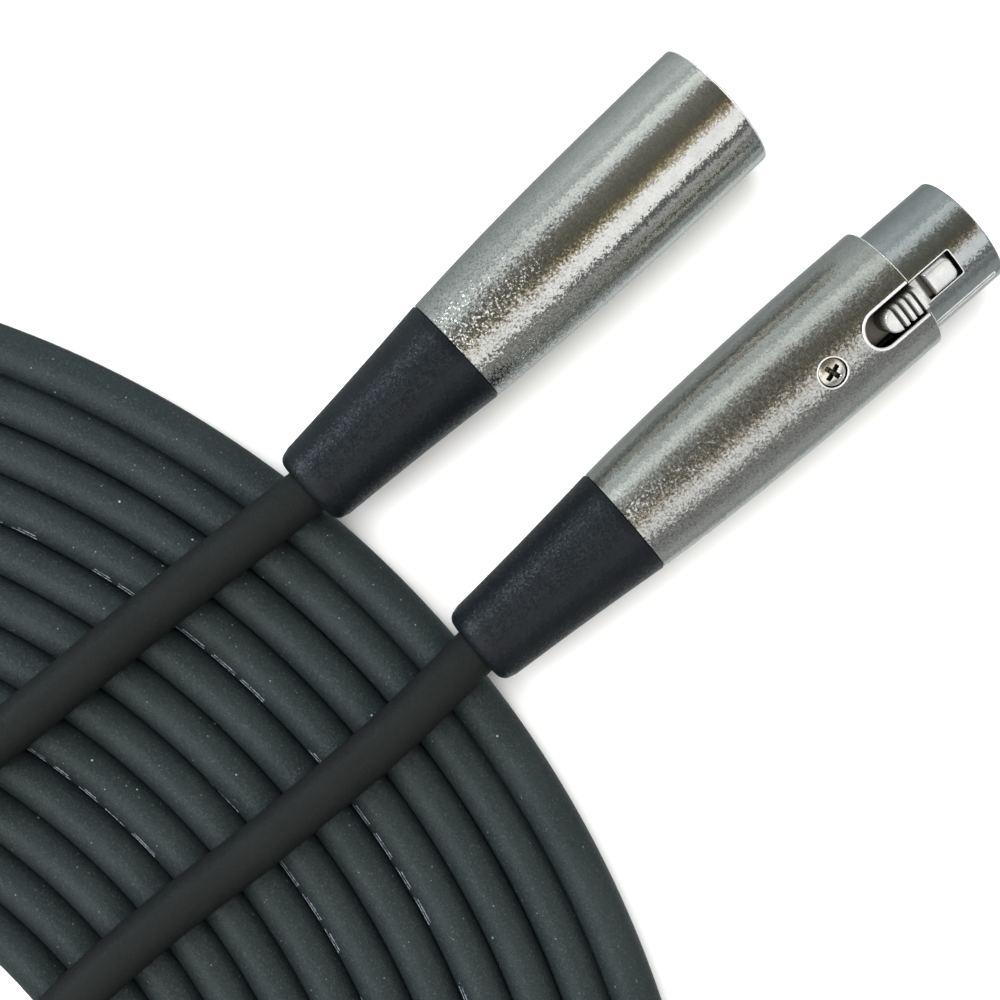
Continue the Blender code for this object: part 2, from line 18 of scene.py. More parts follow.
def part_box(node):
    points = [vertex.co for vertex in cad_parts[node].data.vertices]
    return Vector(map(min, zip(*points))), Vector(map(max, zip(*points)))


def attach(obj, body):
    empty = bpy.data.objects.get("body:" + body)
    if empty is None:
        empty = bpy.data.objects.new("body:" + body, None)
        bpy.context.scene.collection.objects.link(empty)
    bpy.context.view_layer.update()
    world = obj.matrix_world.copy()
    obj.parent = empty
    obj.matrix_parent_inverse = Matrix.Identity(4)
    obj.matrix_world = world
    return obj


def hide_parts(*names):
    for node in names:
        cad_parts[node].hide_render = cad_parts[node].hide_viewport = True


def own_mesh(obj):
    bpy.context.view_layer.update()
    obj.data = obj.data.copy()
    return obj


MM = 0.001

# Cable and coil
CABLE_DIAMETER = 6.8
CABLE_RADIUS = CABLE_DIAMETER / 2
TURNS = 12
TURN_PITCH = 6.345
OUTER_TURN = 146.1
PRESSED_RADIUS = 3.2  # half the width of a turn between two others
TURN_START = 205  # the azimuth where each turn steps out beside the last one
STEP_OUT = 60  # the angle that a turn takes to step out by one pitch
CLIMB_START = 4300  # this winding and the next four are in degrees wound
CLIMB_END = 4340
SPIRAL_START = 12
SPIRAL_END = 4328
SPIRAL_STEP = 4
TIE_SLOPE = 24  # the distance from a tie at which the turns lie on the floor again
RESTING_ON_TURNS = 1.5 * CABLE_DIAMETER + 0.05
ON_FLOOR = CABLE_RADIUS
RING_SPACING = 2.6
CABLE_SIDES = 20
LIFT_WAVER = 0.22  # how much a turn rises and strays where nothing presses on it
SIDE_WAVER = 0.04
JACKET_INSIDE = 28  # how far the jacket is drawn inside each boot
PRINT_LINE_GAP = 5.5  # degrees from the middle of the printed row to each of its two lines
PRINT_HALF_STROKE = 1.1

# Ties
TIE_ANGLES = (20, 165)
TIE_WIDTH = 16
TIE_THICKNESS = 1.1
TIE_LIFT = 1.25  # how far a turn rises to pass over the strap

# Connectors
MALE_YAW = 1.27
MALE_ROLL = 150
MALE_MOUNT = (8.95, 75.5, 0)
FEMALE_YAW = -1.24
FEMALE_ROLL = 17.5
FEMALE_MOUNT = (0, 85.8, 0)
ROUND_SIDES = 160
SMALL_SIDES = 48
BOOT_BACK_RADIUS = 5.9
BOOT_SLOPE = 0.085
MALE_RIM = 75.5
MALE_SCREW = 53.0
FEMALE_SCREW = 59.2
SCREW_HEAD = 1.82  # radii of a retaining screw's head, its hole and the lip round the hole
SCREW_HOLE = 2.05
SCREW_LIP = 2.12
SHOULDER = 74.4
NOSE_BACK = 57.0
NOSE_FRONT = 86.4
NOSE_RADIUS = 8.0
NOSE_BORE = 7.1
SLOT_HALF_WIDTH = 2.7
SLOT_BACK = 65.2
WINDOW_HALF_WIDTH = 2.03
WINDOW = (61.9, 81.2)
KEYWAY_ANGLE = 46
PIVOT = (64.0, 5.6)
BUTTON_BACK = 67.9
BUTTON_FRONT = 74.3
BUTTON_HALF_WIDTH = 1.9
BUTTON_GROOVES = (70.16, 71.24, 72.32, 73.4)
BRIDGE_FRONT = 75.5
CATCH_BACK = 76.4
CATCH_FRONT = 80.6
CATCH_HALF_WIDTH = 1.82
CATCH_CORNER = 1.1
LEVER_TOP = 6.9
LEVER_BACK = 62.8
LEVER_BOTTOM = 6.3
BOSS_RADIUS = 1.2

# Camera, over the connectors and looking straight down
CAMERA_SPOT = (-6.0, 166.6)
CAMERA_HEIGHT = 278.3
CAMERA_TURN = 47.85
CAMERA_LENS = 72

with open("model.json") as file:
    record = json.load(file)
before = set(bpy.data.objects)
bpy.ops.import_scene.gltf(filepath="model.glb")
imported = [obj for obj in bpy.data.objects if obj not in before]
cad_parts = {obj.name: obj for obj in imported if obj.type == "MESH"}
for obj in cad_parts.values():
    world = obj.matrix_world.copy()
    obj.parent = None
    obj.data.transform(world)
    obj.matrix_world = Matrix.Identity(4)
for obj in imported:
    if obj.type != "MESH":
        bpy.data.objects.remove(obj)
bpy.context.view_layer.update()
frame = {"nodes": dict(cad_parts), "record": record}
record = frame["record"]
coil_low, coil_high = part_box("cable_coil")
COIL_CENTRE = Vector(((coil_low.x + coil_high.x) / 2, (coil_low.y + coil_high.y) / 2, 0))


# ---------------- small tools


def smoothstep(t):
    """0 before 0, 1 after 1, and a smooth step between."""
    t = min(1.0, max(0.0, t))
    return t * t * (3 - 2 * t)


def from_coil(point):
    """A point given from the coil's centre in millimetres, in the row frame."""
    return COIL_CENTRE + MM * Vector(point)


def polar(radius, angle, height=0.0):
    """A point at this radius and azimuth."""
    a = math.radians(angle)
    return (radius * math.cos(a), radius * math.sin(a), height)


def circle(sides):
    """The angles in radians of equal steps round a circle."""
    return [math.tau * i / sides for i in range(sides)]


def smooth_curve(points, spacing):
    """Points at about this spacing on a centripetal Catmull-Rom curve through the given ones."""
    knots = [Vector(p) for p in points]
    knots = [2 * knots[0] - knots[1]] + knots + [2 * knots[-1] - knots[-2]]
    made = [knots[1]]
    for a, b, c, d in zip(knots, knots[1:], knots[2:], knots[3:]):
        t1 = math.sqrt((b - a).length)
        t2 = t1 + math.sqrt((c - b).length)
        t3 = t2 + math.sqrt((d - c).length)
        steps = max(1, round((c - b).length / spacing))
        for i in range(1, steps + 1):
            t = t1 + (t2 - t1) * i / steps
            ab = a.lerp(b, t / t1)
            bc = b.lerp(c, (t - t1) / (t2 - t1))
            cd = c.lerp(d, (t - t2) / (t3 - t2))
            abc = ab.lerp(bc, t / t2)
            bcd = bc.lerp(cd, (t - t1) / (t3 - t1))
            made.append(abc.lerp(bcd, (t - t1) / (t2 - t1)))
    return made


def rounded(outline, radius, steps=4):
    """A closed outline with each corner rounded; a corner's own radius may follow its two coordinates."""
    made = []
    count = len(outline)
    for i, corner in enumerate(outline):
        before = Vector(outline[i - 1][:2])
        here = Vector(corner[:2])
        after = Vector(outline[(i + 1) % count][:2])
        into = (before - here).normalized()
        out = (after - here).normalized()
        cosine = max(-1.0, min(1.0, into.dot(out)))
        wanted = corner[2] if len(corner) > 2 else radius
        half = math.acos(cosine) / 2
        reach = wanted / math.tan(half) if half > 0.01 else 0.0
        reach = min(reach, 0.45 * (before - here).length, 0.45 * (after - here).length)
        if wanted <= 0 or half > math.radians(87):
            made.append(tuple(here))
            continue
        start = here + into * reach
        end = here + out * reach
        for k in range(steps + 1):
            t = k / steps
            made.append(tuple((1 - t) ** 2 * start + 2 * t * (1 - t) * here + t * t * end))
    return made


def place_object(name, data):
    """A new object in the scene."""
    made = bpy.data.objects.new(name, data)
    bpy.context.scene.collection.objects.link(made)
    return made


def make_object(name, mesh, matrix=Matrix.Identity(4), smooth=32):
    """An object from a mesh in millimetres, with its faces turned outwards and shaded smooth."""
    mesh.transform(Matrix.Scale(MM, 4))
    fixed = bmesh.new()
    fixed.from_mesh(mesh)
    bmesh.ops.recalc_face_normals(fixed, faces=fixed.faces)
    fixed.to_mesh(mesh)
    fixed.free()
    mesh.shade_smooth()
    mesh.set_sharp_from_angle(angle=math.radians(smooth))
    made = place_object(name, mesh)
    made.matrix_world = matrix
    return made


def skin(name, rings, closed=False, capped=True):
    """A mesh through rings that have the same number of points each; a ring of one point is a pole."""
    vertices, faces, starts = [], [], []
    for ring in rings:
        starts.append(len(vertices))
        vertices += [tuple(p) for p in ring]
    pairs = list(zip(range(len(rings)), range(1, len(rings))))
    if closed:
        pairs.append((len(rings) - 1, 0))
    for first, second in pairs:
        a, b = starts[first], starts[second]
        m, n = len(rings[first]), len(rings[second])
        for i in range(max(m, n)):
            j = (i + 1) % max(m, n)
            if m == 1:
                faces.append((a, b + i, b + j))
            elif n == 1:
                faces.append((a + i, a + j, b))
            else:
                faces.append((a + i, a + j, b + j, b + i))
    if capped and not closed:
        for ring, start in ((rings[0], starts[0]), (rings[-1], starts[-1])):
            if len(ring) > 2:
                faces.append(tuple(start + i for i in range(len(ring))))
    mesh = bpy.data.meshes.new(name)
    mesh.from_pydata(vertices, [], faces)
    return mesh


def lathe(name, outline, matrix, sides=ROUND_SIDES, centre=(0, 0), smooth=32):
    """A solid turned about its frame's Y axis, from a closed outline of (distance along Y, radius)."""
    x, z = centre
    rings = []
    for y, radius in outline:
        turns = circle(sides) if radius > 1e-6 else [0.0]
        rings.append([(x + radius * math.sin(t), y, z + radius * math.cos(t)) for t in turns])
    open_ended = len(rings[0]) == 1 and len(rings[-1]) == 1
    return make_object(name, skin(name, rings, closed=not open_ended), matrix, smooth)


def profile(points):
    """A smooth run of (distance along Y, radius) points through the given ones, about 1 mm apart."""
    return [(p.x, p.y) for p in smooth_curve([(y, r, 0) for y, r in points], 1.0)]


def swept(name, points, radius, matrix=Matrix.Identity(4), sides=10, closed=False):
    """A round bead along a list of points."""
    spots = [Vector(p) for p in points]
    rings = []
    up = Vector((0, 0, 1))
    for i, spot in enumerate(spots):
        before = spots[i - 1] if i or closed else spot
        after = spots[(i + 1) % len(spots)] if i + 1 < len(spots) or closed else spot
        along = (after - before).normalized()
        side = along.cross(up).normalized()
        above = side.cross(along)
        rings.append([spot + radius * (math.cos(t) * side + math.sin(t) * above) for t in circle(sides)])
    return make_object(name, skin(name, rings, closed=closed), matrix)


def slab(name, outline, low, high, matrix):
    """An upright prism from an outline in X and Y, used to cut."""
    rings = [[(x, y, z) for x, y in outline] for z in (low, high)]
    return make_object(name, skin(name, rings), matrix)


def relief(name, width, length, steps, height, underside, matrix):
    """A solid with a flat underside and a top whose height is a function of X and Y."""
    across, along = steps
    xs = [width[0] + (width[1] - width[0]) * i / across for i in range(across + 1)]
    ys = [length[0] + (length[1] - length[0]) * i / along for i in range(along + 1)]
    vertices = [(x, y, height(x, y)) for y in ys for x in xs]
    top = len(vertices)
    vertices += [(x, y, underside) for y in ys for x in xs]
    row = across + 1
    faces = []
    for j in range(along):
        for i in range(across):
            a = j * row + i
            faces.append((a, a + 1, a + row + 1, a + row))
            faces.append((top + a, top + a + row, top + a + row + 1, top + a + 1))
    rim = list(range(row)) + [j * row + across for j in range(1, along + 1)]
    rim += [along * row + i for i in range(across - 1, -1, -1)] + [j * row for j in range(along - 1, 0, -1)]
    for a, b in zip(rim, rim[1:] + rim[:1]):
        faces.append((b, a, top + a, top + b))
    mesh = bpy.data.meshes.new(name)
    mesh.from_pydata(vertices, [], faces)
    return make_object(name, mesh, matrix, smooth=50)


def cut(target, *tools):
    """Cuts each tool out of the target and removes the tools."""
    for tool in tools:
        modifier = target.modifiers.new("cut", "BOOLEAN")
        modifier.operation = "DIFFERENCE"
        modifier.object = tool
        modifier.solver = "EXACT"
    bpy.context.view_layer.update()
    evaluated = target.evaluated_get(bpy.context.evaluated_depsgraph_get())
    mesh = bpy.data.meshes.new_from_object(evaluated)
    target.modifiers.clear()
    target.data = mesh
    mesh.shade_smooth()
    mesh.set_sharp_from_angle(angle=math.radians(32))
    for tool in tools:
        bpy.data.objects.remove(tool)


def dress(piece, material, body="cable", stands_for=()):
    """Gives a piece its material and puts it on a body in the place of CAD nodes."""
    piece.data.materials.clear()
    piece.data.materials.append(material)
    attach(piece, body)
    if stands_for:
        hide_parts(*stands_for)
    return piece


# ---------------- materials


class Nodes:
    """A node tree; most methods add a node and give its output socket."""

    def __init__(self, tree):
        self.tree = tree

    def add(self, kind, inputs=None, **settings):
        """A new node, with its settings and with its inputs set or linked."""
        made = self.tree.nodes.new(kind)
        for key, value in settings.items():
            setattr(made, key, value)
        for key, value in (inputs or {}).items():
            if isinstance(value, bpy.types.NodeSocket):
                self.tree.links.new(value, made.inputs[key])
            else:
                made.inputs[key].default_value = value
        return made

    def maths(self, operation, first, second=0.0, third=0.0, clamp=False):
        """An operation on one to three values or sockets."""
        inputs = {0: first, 1: second, 2: third}
        return self.add("ShaderNodeMath", inputs, operation=operation, use_clamp=clamp).outputs[0]

    def vector(self, operation, inputs):
        """An operation on vectors."""
        return self.add("ShaderNodeVectorMath", inputs, operation=operation).outputs[0]

    def spread(self, value, low, high, at=(0.3, 0.7)):
        """A value carried from one range to another, clamped."""
        inputs = {"Value": value, "From Min": at[0], "From Max": at[1], "To Min": low, "To Max": high}
        return self.add("ShaderNodeMapRange", inputs).outputs["Result"]

    def ramp(self, value, stops, interpolation="LINEAR"):
        """A colour chosen by a value, from stops of (position, colour)."""
        made = self.add("ShaderNodeValToRGB", {"Fac": value})
        made.color_ramp.interpolation = interpolation
        elements = made.color_ramp.elements
        for _ in range(len(stops) - 2):
            elements.new(0.5)
        for i, (position, colour) in enumerate(stops):
            elements[i].position = position
            elements[i].color = (*colour, 1)
        return made.outputs["Color"]

    def tint(self, value, colours, at=(0.3, 0.7)):
        """A colour chosen by a value, from evenly spaced ones."""
        step = (at[1] - at[0]) / (len(colours) - 1)
        return self.ramp(value, [(at[0] + step * i, colour) for i, colour in enumerate(colours)])

    def blend(self, factor, first, second):
        """A mix of two colours."""
        first, second = ((*c, 1) if isinstance(c, tuple) else c for c in (first, second))
        return self.add("ShaderNodeMix", {0: factor, 6: first, 7: second}, data_type="RGBA").outputs[2]


class Look(Nodes):
    """A material that is built up over its object coordinates."""

    def __init__(self, name, **fixed):
        """Fixed values go on the shader's own sockets."""
        self.made = bpy.data.materials.new(name)
        self.made.use_nodes = True
        super().__init__(self.made.node_tree)
        self.shader = self.tree.nodes["Principled BSDF"]
        for key, value in fixed.items():
            self.shader.inputs[key.replace("_", " ")].default_value = value
        self.place = self.add("ShaderNodeTexCoord").outputs["Object"]

    def cells(self, size):
        """The outputs of a pattern of cells about this many millimetres across."""
        return self.add("ShaderNodeTexVoronoi", {"Vector": self.place, "Scale": 1 / (size * MM)}).outputs

    def grain(self, size, detail=2.0, roughness=0.5, place=None):
        """Noise whose features are about this many millimetres across."""
        inputs = {"Vector": place or self.place, "Scale": 1 / (size * MM)}
        inputs |= {"Detail": detail, "Roughness": roughness}
        return self.add("ShaderNodeTexNoise", inputs).outputs["Fac"]

    def wave(self, scale, distortion, direction):
        """Parallel ridges."""
        inputs = {"Vector": self.place, "Scale": scale, "Distortion": distortion, "Detail": 2.0}
        return self.add("ShaderNodeTexWave", inputs, bands_direction=direction).outputs["Fac"]

    def facets(self, size, tilt):
        """The surface's normal, tipped at random from one small facet to the next."""
        centred = self.vector("SUBTRACT", {0: self.cells(size)["Color"], 1: (0.5, 0.5, 0.5)})
        tipped = self.vector("SCALE", {0: centred, "Scale": tilt})
        upright = self.add("ShaderNodeNewGeometry").outputs["Normal"]
        return self.vector("NORMALIZE", {0: self.vector("ADD", {0: upright, 1: tipped})})

    def specks(self, size, share, reach):
        """1 on small round specks in a share of the cells, 0 elsewhere; reach is a share of a cell."""
        cells = self.cells(size)
        chosen = self.add("ShaderNodeSeparateColor", {"Color": cells["Color"]}).outputs["Red"]
        near = self.spread(cells["Distance"], 1.0, 0.0, at=(reach, 2 * reach))
        return self.maths("MULTIPLY", near, self.maths("LESS_THAN", chosen, share))

    def finish(self, colour, roughness=None, layers=(), normal=None):
        """The material, with its colour, roughness and bump layers of (height, millimetres) linked."""
        for height, distance in layers:
            inputs = {"Height": height, "Distance": distance * MM, "Strength": 1.0}
            if normal is not None:
                inputs["Normal"] = normal
            normal = self.add("ShaderNodeBump", inputs).outputs["Normal"]
        for key, socket in (("Base Color", colour), ("Roughness", roughness), ("Normal", normal)):
            if socket is not None:
                self.tree.links.new(socket, self.shader.inputs[key])
        return self.made


def jacket_material(name, colours, specular, speckled, dusty):
    """Soft matt PVC, speckled and dusty to a given degree."""
    look = Look(name, IOR=1.48, Specular_IOR_Level=specular, Specular_Tint=(0.88, 1.0, 1.0, 1))
    fine = look.grain(0.3, 3, 0.65)
    colour = look.tint(look.grain(9, 4), colours)
    colour = look.blend(look.spread(fine, 0.0, speckled, at=(0.56, 0.78)), colour, (0.075, 0.088, 0.088))
    powder = look.maths("MULTIPLY", look.specks(1.3, 0.35, 0.05), 0.5)
    lint = look.specks(3.4, 0.3, 0.03)
    dust = look.maths("MULTIPLY", look.maths("MAXIMUM", powder, lint), dusty)
    colour = look.blend(dust, colour, (0.30, 0.33, 0.33))
    rough = look.maths("MULTIPLY_ADD", look.grain(3, 2), 0.12, look.spread(fine, 0.44, 0.36))
    return look.finish(colour, rough, [(fine, 0.05), (look.grain(1.6, 2), 0.05)], look.facets(0.22, 0.22))


def ink_material():
    """Worn pale ink on the jacket."""
    look = Look("jacket_ink", Roughness=0.5)
    worn = look.grain(0.5, 3, 0.7)
    inked = look.tint(worn, [(0.05, 0.06, 0.065), (0.26, 0.29, 0.34)], at=(0.38, 0.56))
    return look.finish(inked, layers=[(worn, 0.01)])


def rubber_material():
    """Blue-black moulded rubber with a fine grain."""
    look = Look("boot_rubber", IOR=1.5, Specular_IOR_Level=0.22)
    fine = look.grain(0.2, 2, 0.55)
    patches = look.grain(4, 2)
    dark = look.tint(patches, [(0.0040, 0.0052, 0.0068), (0.0058, 0.0074, 0.0094)])
    scuffed = look.blend(look.spread(fine, 0.0, 0.18, at=(0.58, 0.8)), dark, (0.020, 0.025, 0.031))
    layers = [(fine, 0.022), (patches, 0.03)]
    return look.finish(scuffed, look.spread(fine, 0.28, 0.40), layers, look.facets(0.2, 0.26))


def coarse_back(look, axes):
    """1 at a shell's back, less towards its front."""
    return look.spread(axes["Y"], 1.0, 0.35, at=(36 * MM, 58 * MM))


def coarse_top(look, axes):
    """1 along a shell's top, less round its sides."""
    round_from_top = look.maths("ABSOLUTE", look.maths("ARCTAN2", axes["X"], axes["Z"]))
    return look.spread(round_from_top, 1.0, 0.45, at=(0.3, 0.8))


def nickel_material(name, tilt, dull, low, high, coarse, rough):
    """Satin nickel plate over a sparkling cast grain, whose facets tip more and are duller in one place."""
    look = Look(name, Metallic=1.0)
    share = coarse(look, look.add("ShaderNodeSeparateXYZ", {"Vector": look.place}).outputs)
    cast = look.grain(0.32, 2, 0.6)
    pits = look.grain(0.55, 2, 0.5)
    patches = look.grain(2.4, 3, 0.6)
    along = look.add("ShaderNodeMapping", {"Vector": look.place, "Scale": (1, 0.12, 1)}).outputs["Vector"]
    dark = look.spread(cast, 0.75 + dull, dull, at=(0.34, 0.52))
    dark = look.maths("MULTIPLY", dark, share, clamp=True)
    plate = look.blend(dark, look.tint(patches, [low, high]), tuple(0.55 * c for c in low))
    worn = look.maths("MULTIPLY_ADD", share, 0.25, pits)
    layers = [(look.maths("MULTIPLY", cast, share), 0.035), (patches, 0.03)]
    layers.append((look.grain(1.3, 2, place=along), 0.012))
    facets = look.facets(0.25, look.maths("MULTIPLY", share, tilt))
    return look.finish(plate, look.spread(worn, *rough, at=(0.45, 0.95)), layers, facets)


def plated_nose_material(name):
    """Smooth nickel plate, made dark as painted shade where the sleeve lies inside the shell."""
    look = Look(name, Metallic=1.0)
    cast = look.grain(0.3, 2, 0.6)
    patches = look.grain(2.4, 3, 0.6)
    plate = look.tint(patches, [(0.385, 0.41, 0.415), (0.45, 0.475, 0.475)])
    along = look.add("ShaderNodeSeparateXYZ", {"Vector": look.place}).outputs["Y"]
    # painted shade: the sleeve goes dark behind the shoulder, where it sits in the shadow of the shell
    inside = look.spread(along, 1.0, 0.0, at=((SHOULDER - 0.3) * MM, (SHOULDER - 0.1) * MM))
    colour = look.blend(inside, plate, (0.060, 0.056, 0.048))
    layers = [(cast, 0.015), (patches, 0.03)]
    return look.finish(colour, look.spread(cast, 0.14, 0.24), layers, look.facets(0.25, 0.10))


def bright_metal_material(name, colour, rough=(0.16, 0.3), height=0.006, metallic=1.0):
    """Bright plated metal with light rubbing marks, dark with painted shade in hollows that an attribute
    marks.
    """
    look = Look(name, Metallic=metallic)
    marks = look.grain(0.35, 3, 0.6)
    recess_shade = look.add("ShaderNodeAttribute", attribute_name="recess_shade").outputs["Fac"]
    plate = look.tint(look.grain(1.5, 2), [tuple(0.82 * c for c in colour), colour])
    # painted shade: mixed towards a dark colour by the object's shade attribute, in hollows the light does
    # not reach
    plate = look.blend(recess_shade, plate, (0.075, 0.068, 0.055))
    return look.finish(plate, look.spread(marks, *rough), [(marks, height)])


def moulding_material(name, low, high, rough=(0.35, 0.5)):
    """Moulded plastic with a faint grain and slight shade changes."""
    look = Look(name, IOR=1.5)
    patches = look.grain(2.5, 3)
    fine = look.grain(0.22, 2)
    layers = [(fine, 0.008), (patches, 0.02)]
    return look.finish(look.tint(patches, [low, high]), look.spread(fine, *rough), layers)


def webbing_material():
    """Black looped webbing: a fine weave under fuzz, with the ribs painted lighter and the gaps between them
    darker as painted light and shade.
    """
    look = Look("tie_webbing", Roughness=0.85, Sheen_Weight=0.1, Sheen_Roughness=0.5)
    weave = look.maths("MULTIPLY", look.wave(420.0, 1.5, "Y"), look.wave(300.0, 2.5, "X"))
    fuzz = look.grain(0.3, 4, 0.75)
    # painted light and shade across the weave, mixed with the fuzz, which is the webbing's own uneven tone
    weave_shade_and_fuzz = look.maths("MULTIPLY_ADD", weave, 0.5, look.maths("MULTIPLY", fuzz, 0.6))
    shades = [(0.006, 0.006, 0.007), (0.022, 0.022, 0.024), (0.06, 0.06, 0.064)]
    return look.finish(look.tint(weave_shade_and_fuzz, shades, at=(0.2, 0.8)), layers=[(weave, 0.12), (fuzz, 0.2)])


def copper_material():
    """Bare copper strand, twisted, painted lighter along each strand and darker between them as painted
    light and shade.
    """
    look = Look("drain_copper", Metallic=1.0, Roughness=0.32)
    strands = look.wave(900.0, 1.0, "DIAGONAL")
    return look.finish(look.tint(strands, [(0.45, 0.2, 0.1), (0.75, 0.42, 0.26)]), layers=[(strands, 0.05)])


# ---------------- camera


def make_camera():
    """A camera straight above the connectors."""
    data = bpy.data.cameras.new("camera")
    data.lens = CAMERA_LENS
    data.sensor_width = 36
    data.clip_start = 0.01
    data.clip_end = 50
    made = place_object("camera", data)
    made.location = from_coil((*CAMERA_SPOT, CAMERA_HEIGHT))
    made.rotation_euler = (0, 0, math.radians(CAMERA_TURN))
    bpy.context.scene.camera = made


# ---------------- the cable


def connector_frame(kind, yaw, roll, mount_point):
    """The matrix from a connector's own frame, in metres, to the row frame."""
    mount = next(m for m in record["mounts"] if m["name"] == f"{kind}_mating_face")
    turn = Euler((0, math.radians(roll), math.radians(yaw))).to_matrix()
    origin = Vector(mount["pos_m"]) - turn @ (MM * Vector(mount_point))
    return Matrix.Translation(origin) @ turn.to_4x4()


def on_axis(matrix, along):
    """A point on a connector's axis, in millimetres from the coil's centre."""
    return tuple((matrix @ Vector((0, along * MM, 0)) - COIL_CENTRE) / MM)


def male_lead_route(matrix):
    """The route from the male boot over the turns into the coil's middle, given point by point."""
    over = RESTING_ON_TURNS
    return [on_axis(matrix, d) for d in (JACKET_INSIDE, 24, 12, 2)] + [
        *((-24.4, 145.0, over), (-25.3, 134.0, over), (-26.3, 118.0, over), (-27.4, 96.0, over)),
        *((-28.8, 79.0, over), (-30.2, 69.5, over + 0.2), (-32.2, 60.0, 9.4), (-34.5, 50.0, 7.6)),
        *((-40.0, 32.0, 4.6), (-49.0, 8.0, ON_FLOOR), (-57.0, -12.0, ON_FLOOR), (-61.0, -26.0, ON_FLOOR)),
    ]


def female_lead_route(matrix):
    """The route from the female boot across the coil's middle and over the turns to the last, given point by
    point.
    """
    over = RESTING_ON_TURNS
    return [on_axis(matrix, d) for d in (JACKET_INSIDE, 24, 12, 2)] + [
        *((7.1, 146.0, over), (7.5, 134.0, over), (6.7, 112.0, over), (5.3, 93.0, over), (5.6, 75.0, over)),
        *((8.5, 61.0, 9.4), (18.0, 40.0, 5.4), (34.0, 19.0, 3.9), (52.0, -1.0, 6.4), (68.0, -20.0, over)),
        *((79.0, -38.0, over), (87.0, -57.0, over), (89.0, -82.0, over), (79.0, -108.0, over)),
        *((58.0, -129.5, over), (30.0, -141.5, over), (0.0, -145.0, over), (-35.0, -141.0, over)),
        *((-70.0, -127.5, over), (-103.0, -102.9, over)),
    ]


def turn_radius(turn):
    """The middle of a turn; turn 0 is the innermost."""
    return OUTER_TURN - (TURNS - 1 - turn) * TURN_PITCH


def tie_lift(radius, azimuth):
    """How far the strap under the turns lifts the cable here."""
    lift = 0.0
    for angle in TIE_ANGLES:
        away = math.radians((azimuth - angle + 180) % 360 - 180)
        if abs(away) < math.pi / 2:
            distance = abs(radius * math.sin(away)) - TIE_WIDTH / 2
            lift = max(lift, TIE_LIFT * (1 - smoothstep(distance / TIE_SLOPE)))
    return lift


def spiral_point(wound):
    """The coil's centreline after this many degrees of winding, slightly uneven from turn to turn."""
    turn = min(int(wound // 360), TURNS - 1) if wound < TURNS * 360 else TURNS
    if turn == TURNS:
        radius = turn_radius(TURNS - 1)
    else:
        radius = turn_radius(turn - 1) + TURN_PITCH * smoothstep((wound - 360 * turn) / STEP_OUT)
    azimuth = TURN_START + wound
    height = ON_FLOOR + tie_lift(radius, azimuth)
    uneven = noise.noise(Vector((wound / 41, 3.1, 0.7)))
    height += LIFT_WAVER * abs(uneven)
    radius += SIDE_WAVER * noise.noise(Vector((wound / 53, 9.4, 2.2)))
    climb = smoothstep((wound - CLIMB_START) / (CLIMB_END - CLIMB_START))
    return polar(radius, azimuth, height + climb * (RESTING_ON_TURNS - height))


def cable_route(male, female):
    """Points along the cable from the male connector, how far each belongs to a turn, and its winding."""
    windings = range(SPIRAL_START, SPIRAL_END + 1, SPIRAL_STEP)
    route = [(p, 0.0, SPIRAL_START) for p in male_lead_route(male)]
    route += [(spiral_point(w), 1.0, w) for w in windings]
    route += [(p, 0.0, SPIRAL_END) for p in reversed(female_lead_route(female))]
    line = smooth_curve([p for p, _, _ in route], RING_SPACING)
    shares, wound = [], []
    for (a, share_a, wound_a), (b, share_b, wound_b) in zip(route, route[1:]):
        steps = max(1, round((Vector(b) - Vector(a)).length / RING_SPACING))
        for i in range(steps):
            shares.append(share_a + (share_b - share_a) * i / steps)
            wound.append(wound_a + (wound_b - wound_a) * i / steps)
    return line, shares + [0.0], wound + [SPIRAL_END]


def cable_frames(line):
    """The direction, the side to the left and the upward direction at each point of a line."""
    frames = []
    for i, spot in enumerate(line):
        along = (line[min(i + 1, len(line) - 1)] - line[max(i - 1, 0)]).normalized()
        left = Vector((0, 0, 1)).cross(along).normalized()
        frames.append((spot, along, left, along.cross(left)))
    return frames


def half_width(share, spot):
    """Half the cable's width: turns are narrower than the free leads, except on the coil's outer edge."""
    outermost = smoothstep((spot.xy.length - turn_radius(TURNS - 1) + 2) / 1.5)
    pressed = PRESSED_RADIUS + (CABLE_RADIUS - PRESSED_RADIUS) * outermost
    return CABLE_RADIUS + (pressed - CABLE_RADIUS) * share


def surface_point(place, width, angle, lift=0.0):
    """A point on the jacket, at an angle from the top towards the left."""
    spot, _, left, up = place
    a = math.radians(angle)
    return spot + (width + lift) * math.sin(a) * left + (CABLE_RADIUS + lift) * math.cos(a) * up


def make_cable(line, shares, lead_material, turn_material):
    """The whole cable as one tube, with one material on the coil's turns and another on the two leads; both
    are one jacket, painted lighter on the turns.
    """
    frames = cable_frames(line)
    rings = []
    for place, share in zip(frames, shares):
        width = half_width(share, place[0])
        rings.append([surface_point(place, width, 360 * k / CABLE_SIDES) for k in range(CABLE_SIDES)])
    cable = make_object("cable", skin("cable", rings), Matrix.Translation(COIL_CENTRE), smooth=60)
    dress(cable, lead_material, stands_for=("cable_coil", "male_lead", "female_lead"))
    cable.data.materials.append(turn_material)
    for face in cable.data.polygons:
        face.material_index = int(shares[min(face.vertices) // CABLE_SIDES] > 0.5)
    return cable, frames


# Where the printed row lies, as (degrees wound, angle from the top towards the coil's middle). It shows on
# the inner flank of three turns for a while and is underneath elsewhere.
PRINT_LINE = (
    *((0, 150), (1670, 150), (1686, 54), (1700, 54), (1718, 150)),
    *((2375, 160), (2391, 54), (2402, 54), (2418, 160)),
    *((3080, 150), (3105, 54), (3155, 54), (3180, 150), (4330, 165)),
)


